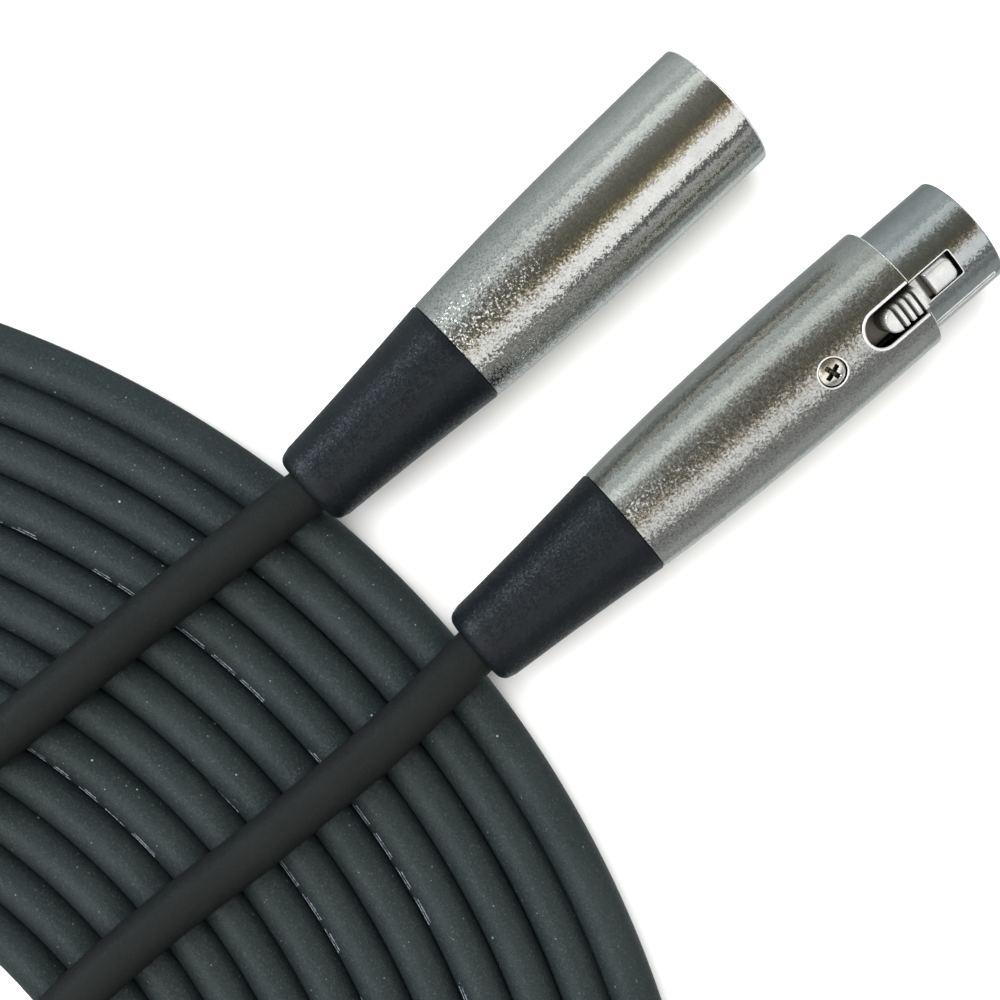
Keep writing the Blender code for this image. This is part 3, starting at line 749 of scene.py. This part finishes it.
def print_angle(wound):
    """The angle of the printed line at a winding."""
    for (w0, a0), (w1, a1) in zip(PRINT_LINE, PRINT_LINE[1:]):
        if wound <= w1:
            return a0 + (a1 - a0) * smoothstep((wound - w0) / (w1 - w0))
    return PRINT_LINE[-1][1]


def make_print(frames, shares, wound, material):
    """Rows of short worn double dashes, which stand for the marks printed along the jacket."""
    draw = random.Random(7)
    travelled = [0.0]
    for a, b in zip(frames, frames[1:]):
        travelled.append(travelled[-1] + (b[0] - a[0]).length)
    vertices, faces = [], []

    def ribbon(start, end, offset):
        """One thin printed line between two distances along the cable, beside the row's middle."""
        steps = max(2, round((end - start) / 1.6))
        first = len(vertices)
        for i in range(steps + 1):
            at = start + (end - start) * i / steps
            k = bisect_right(travelled, at) - 1
            t = (at - travelled[k]) / (travelled[k + 1] - travelled[k])
            place = tuple(p.lerp(q, t) for p, q in zip(frames[k], frames[k + 1]))
            width = half_width(shares[k] + (shares[k + 1] - shares[k]) * t, place[0])
            angle = print_angle(wound[k] + (wound[k + 1] - wound[k]) * t) + offset
            for turn, lift in ((-1, 0.02), (1, 0.02), (1, -0.03), (-1, -0.03)):
                vertices.append(surface_point(place, width, angle + turn * PRINT_HALF_STROKE, lift))
        for i in range(steps):
            a = first + 4 * i
            for j in range(4):
                n = (j + 1) % 4
                faces.append((a + j, a + n, a + 4 + n, a + 4 + j))
        last = first + 4 * steps
        faces.append((first + 3, first + 2, first + 1, first))
        faces.append((last, last + 1, last + 2, last + 3))

    at = 45.0
    while at < travelled[-1] - 60:
        for _ in range(draw.randint(3, 6)):
            length = draw.uniform(3.0, 5.0)
            ribbon(at, at + length, PRINT_LINE_GAP)
            if draw.random() < 0.8:
                ribbon(at + draw.uniform(0, 0.6), at + length - draw.uniform(0, 1.0), -PRINT_LINE_GAP)
            at += length + draw.uniform(0.8, 1.6)
        at += draw.uniform(3, 9)
    mesh = bpy.data.meshes.new("jacket_print")
    mesh.from_pydata([tuple(v) for v in vertices], [], faces)
    printed = make_object("jacket_print", mesh, Matrix.Translation(COIL_CENTRE))
    return dress(printed, material)


# ---------------- the ties


def make_tie(number, angle, material):
    """A hook-and-loop strap round all the turns, with its free end lapped over the top."""
    low = TIE_THICKNESS / 2 + 0.02
    top = CABLE_DIAMETER + TIE_LIFT + TIE_THICKNESS / 2 + 0.25
    inner = turn_radius(0) - PRESSED_RADIUS - TIE_THICKNESS / 2 - 0.25
    outer = turn_radius(TURNS - 1) + CABLE_RADIUS + TIE_THICKNESS / 2 - 0.35
    bend = (top - low) / 2
    lap_start = inner + 16
    lap_end = outer - 14

    def dip(radius):
        """The strap sags a little between the crests of the turns."""
        return 0.16 * math.cos(2 * math.pi * (radius - turn_radius(0)) / TURN_PITCH)

    def arc_points(centre, start, end):
        """Points round an end of the section."""
        steps = 9
        turns = [math.radians(start + (end - start) * i / steps) for i in range(1, steps)]
        return [(centre + bend * math.cos(t), low + bend + bend * math.sin(t)) for t in turns]

    path = []
    radius = lap_start
    while radius < outer - bend:
        path.append((radius, top + dip(radius)))
        radius += 1.5
    path += arc_points(outer - bend, 90, -90)
    radius = outer - bend
    while radius > inner + bend:
        path.append((radius, low))
        radius -= 3.0
    path += arc_points(inner + bend, 270, 90)
    radius = inner + bend
    while radius < lap_end:
        rise = smoothstep((radius - lap_start + 9) / 8)
        path.append((radius, top + dip(radius) + rise * (TIE_THICKNESS + 0.08)))
        radius += 1.5

    count = len(path)
    rings = []
    for i, (x, z) in enumerate(path):
        before = Vector(path[max(i - 1, 0)])
        after = Vector(path[min(i + 1, count - 1)])
        along = (after - before).normalized()
        normal = Vector((-along.y, along.x))
        end_taper = min(1.0, (count - 1 - i) / 5, (i + 2) / 2)
        half = TIE_WIDTH / 2 * (0.72 + 0.28 * math.sqrt(end_taper))
        thick = TIE_THICKNESS / 2
        section = []
        for k in range(17):
            across = -half + 2 * half * k / 16
            edge = 1 - max(0.0, abs(across) - half + 0.7) / 0.7 * 0.55
            section.append((across, thick * edge + 0.05 * math.sin(across * 2.4 + i * 0.6)))
        section += [(across, -thick * 0.9) for across, _ in reversed(section)]
        rings.append([(x + normal.x * h, across, z + normal.y * h) for across, h in section])
    turn = Matrix.Translation(COIL_CENTRE) @ Matrix.Rotation(math.radians(angle), 4, "Z")
    strap = make_object(f"tie_{number}", skin(f"tie_{number}", rings), turn, smooth=45)
    return dress(strap, material, stands_for=(f"coil_tie_{number}",))


# ---------------- connector pieces

MALE_SHELL = ((27.5, 8.2), (33.5, 8.6), (41.5, 9.04), (53.5, 9.44), (66, 9.64), (75.0, 9.7))
FEMALE_SHELL = ((26.6, 8.1), (31, 8.45), (36, 8.75), (43, 9.08), (53, 9.38), (63, 9.53), (73.6, 9.53))


def shell_radius(points, y):
    """The outer radius of a shell at a distance along its axis."""
    for (y0, r0), (y1, r1) in zip(points, points[1:]):
        if y <= y1:
            return r0 + (r1 - r0) * (y - y0) / (y1 - y0)
    return points[-1][1]


def make_boot(kind, shell_back, matrix, material):
    """The rubber strain relief, tapered, with a soft back corner and a flared mouth."""
    front = shell_back - 0.06
    back = BOOT_BACK_RADIUS
    corner = 1.5
    outline = [(6, 3.75), (0.25, 4.0), (0, 4.25), (0, back - corner)]
    for t in (0.3, 0.6, 0.9, 1.2, 1.45):
        outline.append((corner * (1 - math.cos(t)), back - corner + 1.45 * math.sin(t)))
    for y in range(2, int(front)):
        outline.append((y, back + BOOT_SLOPE * y - 0.12 * math.sin(math.pi * y / front)))
    edge = back + BOOT_SLOPE * front
    outline += [(front - 0.35, edge - 0.02), (front - 0.1, edge - 0.1), (front, edge - 0.35), (front, 6.7)]
    outline += [(front + 3.3, 6.7), (front + 3.6, 6.4), (front + 3.6, 3.8)]
    boot = lathe(f"{kind}_strain_relief", outline, matrix, smooth=40)
    dress(boot, material, stands_for=(f"{kind}_boot",))


def front_rim(kind, y, radius, thickness, matrix):
    """The polished edge round a shell's front, whose pale colour is a painted highlight."""
    outline = [(y + thickness * math.cos(t), radius + thickness * math.sin(t)) for t in circle(10)]
    return lathe(f"{kind}_front_rim", outline, matrix)


def make_male_shell(matrix, material, rim_material):
    """The male shell: a long barrel with a thin bright rim round its open cavity."""
    outline = [(46, 6.2, 0), (46, 8.25, 0.5), (74.6, 8.25, 0), (MALE_RIM, 8.75, 0.15), (MALE_RIM, 9.35, 0.2)]
    outline += [(75.2, 9.64, 0.1)] + [(*p, 0) for p in reversed(profile(MALE_SHELL))]
    outline += [(27.5, 7.95, 0.1), (27.2, 7.7, 0), (27.2, 6.85, 0), (32, 6.85, 0), (32, 7.1, 0)]
    outline += [(45.5, 7.1, 0)]
    shell = lathe("male_shell_barrel", rounded(outline, 0.1), matrix)
    cut(shell, screw_hole(MALE_SCREW, 6.5, matrix))
    dress(front_rim("male", 75.3, 9.55, 0.11, matrix), rim_material)
    dress(shell, material, stands_for=("male_shell",))


def screw_hole(y, height, matrix):
    """The cutter for a retaining screw's hole: a rod that stands on the connector's axis at this height."""
    spot = Matrix.Translation((0, y * MM, height * MM)) @ Matrix.Rotation(math.radians(90), 4, "X")
    outline = [(0, 0), (0, SCREW_HOLE), (6, SCREW_HOLE), (6, 0)]
    return lathe("screw_hole", outline, matrix @ spot, SMALL_SIDES)


def slot_outline(half, back, front):
    """A slot with a round back end, open at its front."""
    turns = [math.pi * i / 16 for i in range(17)]
    end = [(half * math.cos(t), back + half - half * math.sin(t)) for t in turns]
    return [(half, front), *end, (-half, front)]


def make_female_shell(matrix, material, rim_material):
    """The female shell, cut open for the latch button, with bright edges round the slot and in front."""
    outline = [(*p, 0) for p in profile(FEMALE_SHELL)]
    outline += [(74.1, 9.5, 0.15), (SHOULDER, 9.2, 0.2), (SHOULDER, 8.35, 0.15), (74.0, 8.3, 0)]
    outline += [(56.4, 8.3, 0), (56.4, 7.3, 0), (45.5, 7.3, 0), (31.5, 7.1, 0), (31.5, 6.85, 0)]
    outline += [(26.3, 6.85, 0), (26.3, 7.6, 0), (26.6, 7.9, 0.1)]
    shell = lathe("female_shell_barrel", rounded(outline, 0.1), matrix)
    slot = slot_outline(SLOT_HALF_WIDTH, SLOT_BACK, SHOULDER + 2)
    cut(shell, slab("slot_cut", slot, 3, 12, matrix), screw_hole(FEMALE_SCREW, 5.0, matrix))
    dress(shell, material, stands_for=("female_shell",))
    rim = front_rim("female", 74.2, 9.38, 0.06, matrix)
    cut(rim, slab("rim_cut", slot, 3, 12, matrix))
    dress(rim, rim_material)

    def just_under(y):
        """The height of the slot's edge under the shell's surface."""
        return shell_radius(FEMALE_SHELL, y) - 0.1

    edge = slot_outline(SLOT_HALF_WIDTH + 0.05, SLOT_BACK - 0.05, SHOULDER - 0.45)
    edge_bead("female_slot_rim", edge, just_under, 0.24, matrix, rim_material, closed=False)


def edge_bead(name, outline, surface, radius, matrix, material, closed=True):
    """A rounded bright edge along an outline in X and Y that lies on a round surface."""
    loop = outline + outline[:1] if closed else outline
    points = []
    for (x0, y0), (x1, y1) in zip(loop, loop[1:]):
        steps = max(1, round(math.hypot(x1 - x0, y1 - y0) / 0.5))
        points += [(x0 + (x1 - x0) * i / steps, y0 + (y1 - y0) * i / steps) for i in range(steps)]
    if not closed:
        points.append(loop[-1])
    points = [(x, y, math.sqrt(surface(y) ** 2 - x * x)) for x, y in points]
    bead = swept(name, points, radius, matrix, closed=closed)
    dress(bead, material)


def make_screw_lip(kind, y, radius, matrix, material):
    """The raised lip round a retaining screw's hole."""
    outline = [(SCREW_LIP * math.sin(t), y + SCREW_LIP * math.cos(t)) for t in circle(SMALL_SIDES)]
    edge_bead(f"{kind}_screw_lip", outline, lambda _: radius - 0.04, 0.12, matrix, material)


def make_screw(kind, y, head_top, bottom, matrix, material):
    """A retaining screw: a domed head with a cross cut into it on a threaded shank, with painted shade in
    the cross.
    """
    head = SCREW_HEAD
    steps = 30
    turns = circle(96)
    rings, recess_shade = [], []
    for i in range(steps + 1):
        radius = head * i / steps
        ring = []
        for t in turns if i else turns[:1]:
            x, z = radius * math.cos(t + 0.35), radius * math.sin(t + 0.35)
            dome = head_top - 0.32 * (radius / head) ** 2.4
            arm = max(abs(x), abs(z))
            off = min(abs(x), abs(z))
            deep = 0.75 * (1 - smoothstep((arm - 0.95) / 0.3)) * (1 - smoothstep((off - 0.22) / 0.12))
            deep += 0.2 * (1 - smoothstep((radius - 0.2) / 0.3))
            ring.append((radius * math.sin(t), y + radius * math.cos(t), dome - deep))
            # painted shade for the cross: the deeper the cut, the darker the colour
            recess_shade.append(smoothstep(deep / 0.4))
        rings.append(ring)
    shank = [(head, head_top - 0.42), (head, head_top - 0.75), (1.15, head_top - 1.1)]
    depth = head_top - 1.1
    while depth > bottom + 0.3:
        shank += [(1.02, depth - 0.1), (1.2, depth - 0.25)]
        depth -= 0.4
    shank += [(0.9, bottom), (0, bottom)]
    for radius, z in shank:
        around = turns if radius else turns[:1]
        rings.append([(radius * math.sin(t), y + radius * math.cos(t), z) for t in around])
        recess_shade += [0.0] * len(around)
    mesh = skin(f"{kind}_screw", rings)
    mesh.attributes.new("recess_shade", "FLOAT", "POINT").data.foreach_set("value", recess_shade)
    screw = make_object(f"{kind}_screw", mesh, matrix, smooth=40)
    dress(screw, material, stands_for=(f"{kind}_retaining_screw",))


def rectangle(half, back, front):
    """The corners of a rectangle along the connector's axis."""
    return [(-half, back), (half, back), (half, front), (-half, front)]


def make_nose(matrix, material, rim_material):
    """The female nose: a bright sleeve with a rounded front, the latch window and a keyway down one side."""
    outline = [(NOSE_BACK, NOSE_BORE, 0), (NOSE_BACK, NOSE_RADIUS, 0.1)]
    outline += [(y, NOSE_RADIUS, 0) for y in (62, 68, 74, 80, 84)] + [(NOSE_FRONT, NOSE_RADIUS, 0.55)]
    outline += [(NOSE_FRONT, NOSE_BORE, 0.25), (84, NOSE_BORE, 0), (70, NOSE_BORE, 0)]
    nose = lathe("female_nose_sleeve", rounded(outline, 0.1, steps=6), matrix)
    window = rounded(rectangle(WINDOW_HALF_WIDTH, *WINDOW), 0.35)
    keyway = rounded(rectangle(0.38, 74.0, 85.0), 0.3)
    keyed = matrix @ Matrix.Rotation(math.radians(KEYWAY_ANGLE), 4, "Y")
    cut(nose, slab("window_cut", window, 3, 10, matrix), slab("key_cut", keyway, 7.55, 9, keyed))
    dress(nose, material, stands_for=("female_nose",))

    def just_under(_):
        """The height of an edge under the nose's surface."""
        return NOSE_RADIUS - 0.02

    ends = [(half, SHOULDER) for half in (WINDOW_HALF_WIDTH, -WINDOW_HALF_WIDTH)]
    seen = [ends[0], *(p for p in window if p[1] > SHOULDER), ends[1]]
    edge_bead("female_window_rim", seen, just_under, 0.09, matrix, rim_material, closed=False)
    edge_bead("female_keyway_rim", keyway, just_under, 0.13, keyed, rim_material)


def soft_edge(inside, width=0.4):
    """The rise of a rounded edge, from 0 to 1, at this distance inside it."""
    return math.sqrt(max(0.0, 1 - (1 - min(1.0, inside / width)) ** 2))


def latch_top(x, y):
    """The latch's upper surface: lever, grooved button, bridge, step and catch."""
    crown = x * x / 22
    if y < BUTTON_FRONT:
        middle = BUTTON_BACK + BUTTON_HALF_WIDTH
        inside = BUTTON_HALF_WIDTH - (abs(x) if y > middle else math.hypot(x, middle - y))
        if inside <= 0:
            return LEVER_TOP
        height = LEVER_TOP + 3.5 * soft_edge(inside) - crown
        groove = min(abs(y - g) for g in BUTTON_GROOVES)
        return height - 0.95 * (1 - smoothstep((groove - 0.12) / 0.14))
    if y < BRIDGE_FRONT:
        return 8.3 - crown - 0.3 * smoothstep((y - BRIDGE_FRONT + 0.4) / 0.4)
    if y < CATCH_BACK:
        return LEVER_TOP
    past_x = abs(x) - CATCH_HALF_WIDTH + CATCH_CORNER
    past_y = y - CATCH_FRONT + CATCH_CORNER
    if past_x > 0 and past_y > 0:
        inside = CATCH_CORNER - math.hypot(past_x, past_y)
    else:
        inside = min(CATCH_HALF_WIDTH - abs(x), CATCH_FRONT - y)
    inside = min(inside, y - CATCH_BACK + 0.1)
    if inside <= 0:
        return LEVER_TOP - 0.2
    return LEVER_TOP - 0.2 + 1.85 * soft_edge(inside) - 1.2 * crown


def make_latch(matrix, material):
    """The latch, a bent steel lever with its button and catch."""
    length = (LEVER_BACK, CATCH_FRONT + 0.1)
    latch = relief("latch_button", (-1.9, 1.9), length, (38, 180), latch_top, LEVER_BOTTOM, matrix)
    pivot = Matrix.Translation((0, PIVOT[0] * MM, PIVOT[1] * MM))
    pivot @= Matrix.Rotation(math.radians(90), 4, "Z")
    rods = []
    for name, half, radius in (("boss", 1.7, BOSS_RADIUS), ("bore", 3, 0.72)):
        outline = [(-half, 0), (-half, radius), (half, radius), (half, 0)]
        rods.append(lathe(name, outline, matrix @ pivot, SMALL_SIDES))
    boss, bore = rods
    modifier = latch.modifiers.new("boss", "BOOLEAN")
    modifier.operation = "UNION"
    modifier.object = boss
    modifier.solver = "EXACT"
    cut(latch, bore)
    bpy.data.objects.remove(boss)
    # painted shade: the latch's colour goes dark below these heights, where it lies in the shadowed cavity
    # of the shell
    recess_shade = []
    for vertex in latch.data.vertices:
        lit_above = 9.5 if vertex.co.y / MM < BUTTON_FRONT - 0.1 else 7.0
        recess_shade.append(1 - smoothstep((vertex.co.z / MM - lit_above) / 0.35))
    latch.data.attributes.new("recess_shade", "FLOAT", "POINT").data.foreach_set("value", recess_shade)
    dress(latch, material, body="latch", stands_for=("latch_lever",))


def seat_spring():
    """Gives the CAD's spring a mesh of its own."""
    spring = frame["nodes"]["latch_spring"]
    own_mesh(spring)


def make_pins(matrix, material):
    """The three contact pins, each with a round tip."""
    for number, angle in enumerate((30, 150, 270), start=1):
        a = math.radians(angle)
        centre = (3.8 * math.cos(a), 3.8 * math.sin(a))
        outline = [(40.5, 0), (40.5, 1.0), (47, 1.0), (47, 1.55), (57.9, 1.55), (58.2, 1.2), (73.4, 1.2)]
        tip = [(73.5 + 1.2 * math.sin(t), 1.2 * math.cos(t)) for t in (0.2, 0.5, 0.8, 1.1, 1.35)]
        outline += [*tip, (74.7, 0)]
        pin = lathe(f"male_contact_{number}", outline, matrix, SMALL_SIDES, centre)
        dress(pin, material, stands_for=(f"male_pin_{number}",))


def finish_cad_nodes(looks):
    """Gives every CAD node that still shows a detailed material, and softens its edges."""
    for name, made in frame["nodes"].items():
        if made.hide_render:
            continue
        key = next(k for k in looks if k in name)
        made.data.materials.clear()
        made.data.materials.append(looks[key])
        made.data.shade_smooth()
        made.data.set_sharp_from_angle(angle=math.radians(35))
        soft = made.modifiers.new("soft_edges", "BEVEL")
        soft.width = 0.12 * MM
        soft.segments = 2
        soft.limit_method = "ANGLE"
        soft.angle_limit = math.radians(40)


# ---------------- floor and light

# What the studio looks like from the connectors, as (angle from straight up towards +X, brightness, tint).
STUDIO = (
    (-180, 0.40, (0.95, 1.0, 1.0)),
    (-140, 0.36, (0.93, 1.0, 1.0)),
    (-115, 0.48, (0.90, 1.0, 1.0)),
    (-97, 0.58, (0.92, 1.0, 1.0)),
    (-80, 0.74, (0.92, 1.0, 1.0)),
    (-67, 0.56, (0.92, 1.0, 1.0)),
    (-54, 1.12, (0.95, 1.0, 0.99)),
    (-43, 0.92, (0.95, 1.0, 0.98)),
    (-31, 0.25, (1.0, 1.0, 0.92)),
    (-16, 0.18, (1.0, 0.98, 0.80)),
    (3, 0.135, (1.0, 0.97, 0.76)),
    (11, 0.20, (1.0, 0.84, 0.50)),
    (20, 0.56, (1.0, 0.86, 0.62)),
    (29, 1.30, (0.99, 1.0, 1.0)),
    (53, 1.30, (0.99, 1.0, 1.0)),
    (59, 0.12, (0.95, 1.0, 1.0)),
    (65, 0.14, (0.95, 1.0, 1.0)),
    (74, 0.54, (0.98, 1.0, 1.0)),
    (84, 0.22, (1.0, 1.0, 0.98)),
    (99, 0.46, (0.97, 1.0, 1.0)),
    (119, 0.52, (0.95, 1.0, 1.0)),
    (131, 0.34, (0.95, 1.0, 1.0)),
    (147, 0.75, (0.93, 1.0, 1.0)),
    (180, 0.40, (0.95, 1.0, 1.0)),
)
BACKDROP = (0.93, 0.93, 0.93)


def make_studio():
    """Soft bands of light beside a dark ceiling, which the metal reflects."""
    world = bpy.data.worlds.new("studio")
    bpy.context.scene.world = world
    world.use_nodes = True
    nodes = Nodes(world.node_tree)
    nodes.tree.nodes.clear()
    place = nodes.add("ShaderNodeTexCoord").outputs["Generated"]
    axes = nodes.add("ShaderNodeSeparateXYZ", {"Vector": place}).outputs
    angle = nodes.maths("ARCTAN2", axes["X"], axes["Z"])
    share = nodes.maths("MULTIPLY_ADD", angle, 0.5 / math.pi, 0.5)
    stops = [(at / 360 + 0.5, tuple(bright * c for c in colour)) for at, bright, colour in STUDIO]
    bands = nodes.ramp(share, stops, "EASE")
    seen = nodes.add("ShaderNodeLightPath").outputs["Is Camera Ray"]
    light = nodes.add("ShaderNodeBackground", {"Color": nodes.blend(seen, bands, BACKDROP), "Strength": 1.0})
    nodes.add("ShaderNodeOutputWorld", {"Surface": light.outputs["Background"]})


def add_softbox(name, place, size, power, aim=(0, 0.09, 0), glossy=False, colour=(1.0, 1.0, 1.0)):
    """A square soft light aimed at the object."""
    data = bpy.data.lights.new(name, "AREA")
    data.shape = "SQUARE"
    data.size = size
    data.energy = power
    data.color = colour
    made = place_object(name, data)
    made.location = place
    made.rotation_euler = (Vector(aim) - Vector(place)).to_track_quat("-Z", "Y").to_euler()
    made.visible_glossy = glossy
    made.visible_camera = False


def make_floor():
    """A wide pale floor."""
    side = 8.0
    mesh = bpy.data.meshes.new("floor")
    corners = [(-side, -side, 0), (side, -side, 0), (side, side, 0), (-side, side, 0)]
    mesh.from_pydata(corners, [], [(0, 1, 2, 3)])
    look = Look("floor_paper", Roughness=0.9)
    mottle = look.grain(1000 / 3)
    mesh.materials.append(look.finish(look.tint(mottle, [(0.90, 0.90, 0.90), (0.92, 0.92, 0.92)])))
    floor = place_object("floor", mesh)
    floor.visible_glossy = False


# ---------------- everything together

make_camera()
male = connector_frame("male", MALE_YAW, MALE_ROLL, MALE_MOUNT)
female = connector_frame("female", FEMALE_YAW, FEMALE_ROLL, FEMALE_MOUNT)
centreline, turn_shares, windings = cable_route(male, female)
# painted light: the leads and the turns are one jacket, but the turns get lighter, greener colours and more
# specular, standing for the brighter light on the coil
neutral_black = [(0.0105, 0.0115, 0.0111), (0.0125, 0.0135, 0.0131)]
turn_greys_painted_lighter = [(0.0108, 0.0155, 0.0163), (0.0148, 0.0200, 0.0208)]
lead_jacket = jacket_material("lead_jacket", neutral_black, specular=0.06, speckled=0.0, dusty=0.04)
turn_jacket_painted_lighter = jacket_material("turn_jacket_painted_lighter", turn_greys_painted_lighter, specular=0.38, speckled=0.6, dusty=0.9)
cable, cable_places = make_cable(centreline, turn_shares, lead_jacket, turn_jacket_painted_lighter)
jacket_print = make_print(cable_places, turn_shares, windings, ink_material())
webbing = webbing_material()
ties = [make_tie(number, angle, webbing) for number, angle in enumerate(TIE_ANGLES, start=1)]

rubber = rubber_material()
make_boot("male", 27.5, male, rubber)
make_boot("female", 26.6, female, rubber)
male_nickel = nickel_material(
    "male_nickel", 0.24, 0.25, (0.60, 0.60, 0.575), (0.68, 0.68, 0.655), coarse_back, rough=(0.07, 0.17)
)
female_nickel = nickel_material(
    "female_nickel", 0.20, 0.32, (0.52, 0.52, 0.495), (0.60, 0.60, 0.575), coarse_top, rough=(0.15, 0.27)
)
# painted highlight: the edge beads get a pale, partly non-metallic colour, so each edge shows as a bright
# line
edge_highlight_nickel = bright_metal_material("edge_highlight_nickel", (0.90, 0.89, 0.88), (0.3, 0.45), 0.01, metallic=0.6)
screw_steel = bright_metal_material("fastener_steel", (0.80, 0.78, 0.71), height=0.012)
latch_steel = bright_metal_material("latch_steel", (0.74, 0.74, 0.735), (0.24, 0.34), 0.003, metallic=0.8)
make_male_shell(male, male_nickel, edge_highlight_nickel)
make_female_shell(female, female_nickel, edge_highlight_nickel)
for kind, matrix, y, top, points in (
    ("male", male, MALE_SCREW, 9.2, MALE_SHELL),
    ("female", female, FEMALE_SCREW, 9.35, FEMALE_SHELL),
):
    make_screw_lip(kind, y, shell_radius(points, y), matrix, edge_highlight_nickel)
    make_screw(kind, y, top, 5.0, matrix, screw_steel)
make_nose(female, plated_nose_material("nose_nickel"), edge_highlight_nickel)
make_latch(female, latch_steel)
make_pins(male, bright_metal_material("contact_plating", (0.80, 0.77, 0.68), (0.12, 0.22)))
finish_cad_nodes(
    {
        "insert": moulding_material("insert_moulding", (0.012, 0.012, 0.013), (0.022, 0.022, 0.023)),
        "socket": bright_metal_material("socket_bronze", (0.72, 0.55, 0.30)),
        "clamp": bright_metal_material("clamp_steel", (0.58, 0.58, 0.56), (0.25, 0.42), height=0.015),
        "core_hot": moulding_material("core_red", (0.42, 0.02, 0.02), (0.55, 0.035, 0.03), (0.25, 0.35)),
        "core_cold": moulding_material("core_white", (0.68, 0.68, 0.65), (0.78, 0.78, 0.75), (0.25, 0.35)),
        "drain": copper_material(),
        "latch": bright_metal_material("spring_steel", (0.60, 0.60, 0.60), (0.2, 0.3)),
    }
)
seat_spring()
make_floor()
make_studio()
add_softbox("overhead_light", (-0.25, 0.20, 1.1), 0.7, 13.0)
add_softbox("side_light", (-0.6, -0.7, 0.9), 0.8, 7.0)
add_softbox("coil_light", (-0.05, -0.17, 0.45), 0.38, 0.9, (0, 0.02, 0), True)
pale_blue = (0.72, 0.88, 1.0)
add_softbox("boot_light", (-0.41, -0.10, 0.26), 0.14, 1.0, (-0.01, 0.115, 0.01), True, pale_blue)
bpy.context.scene.view_settings.view_transform = "Standard"
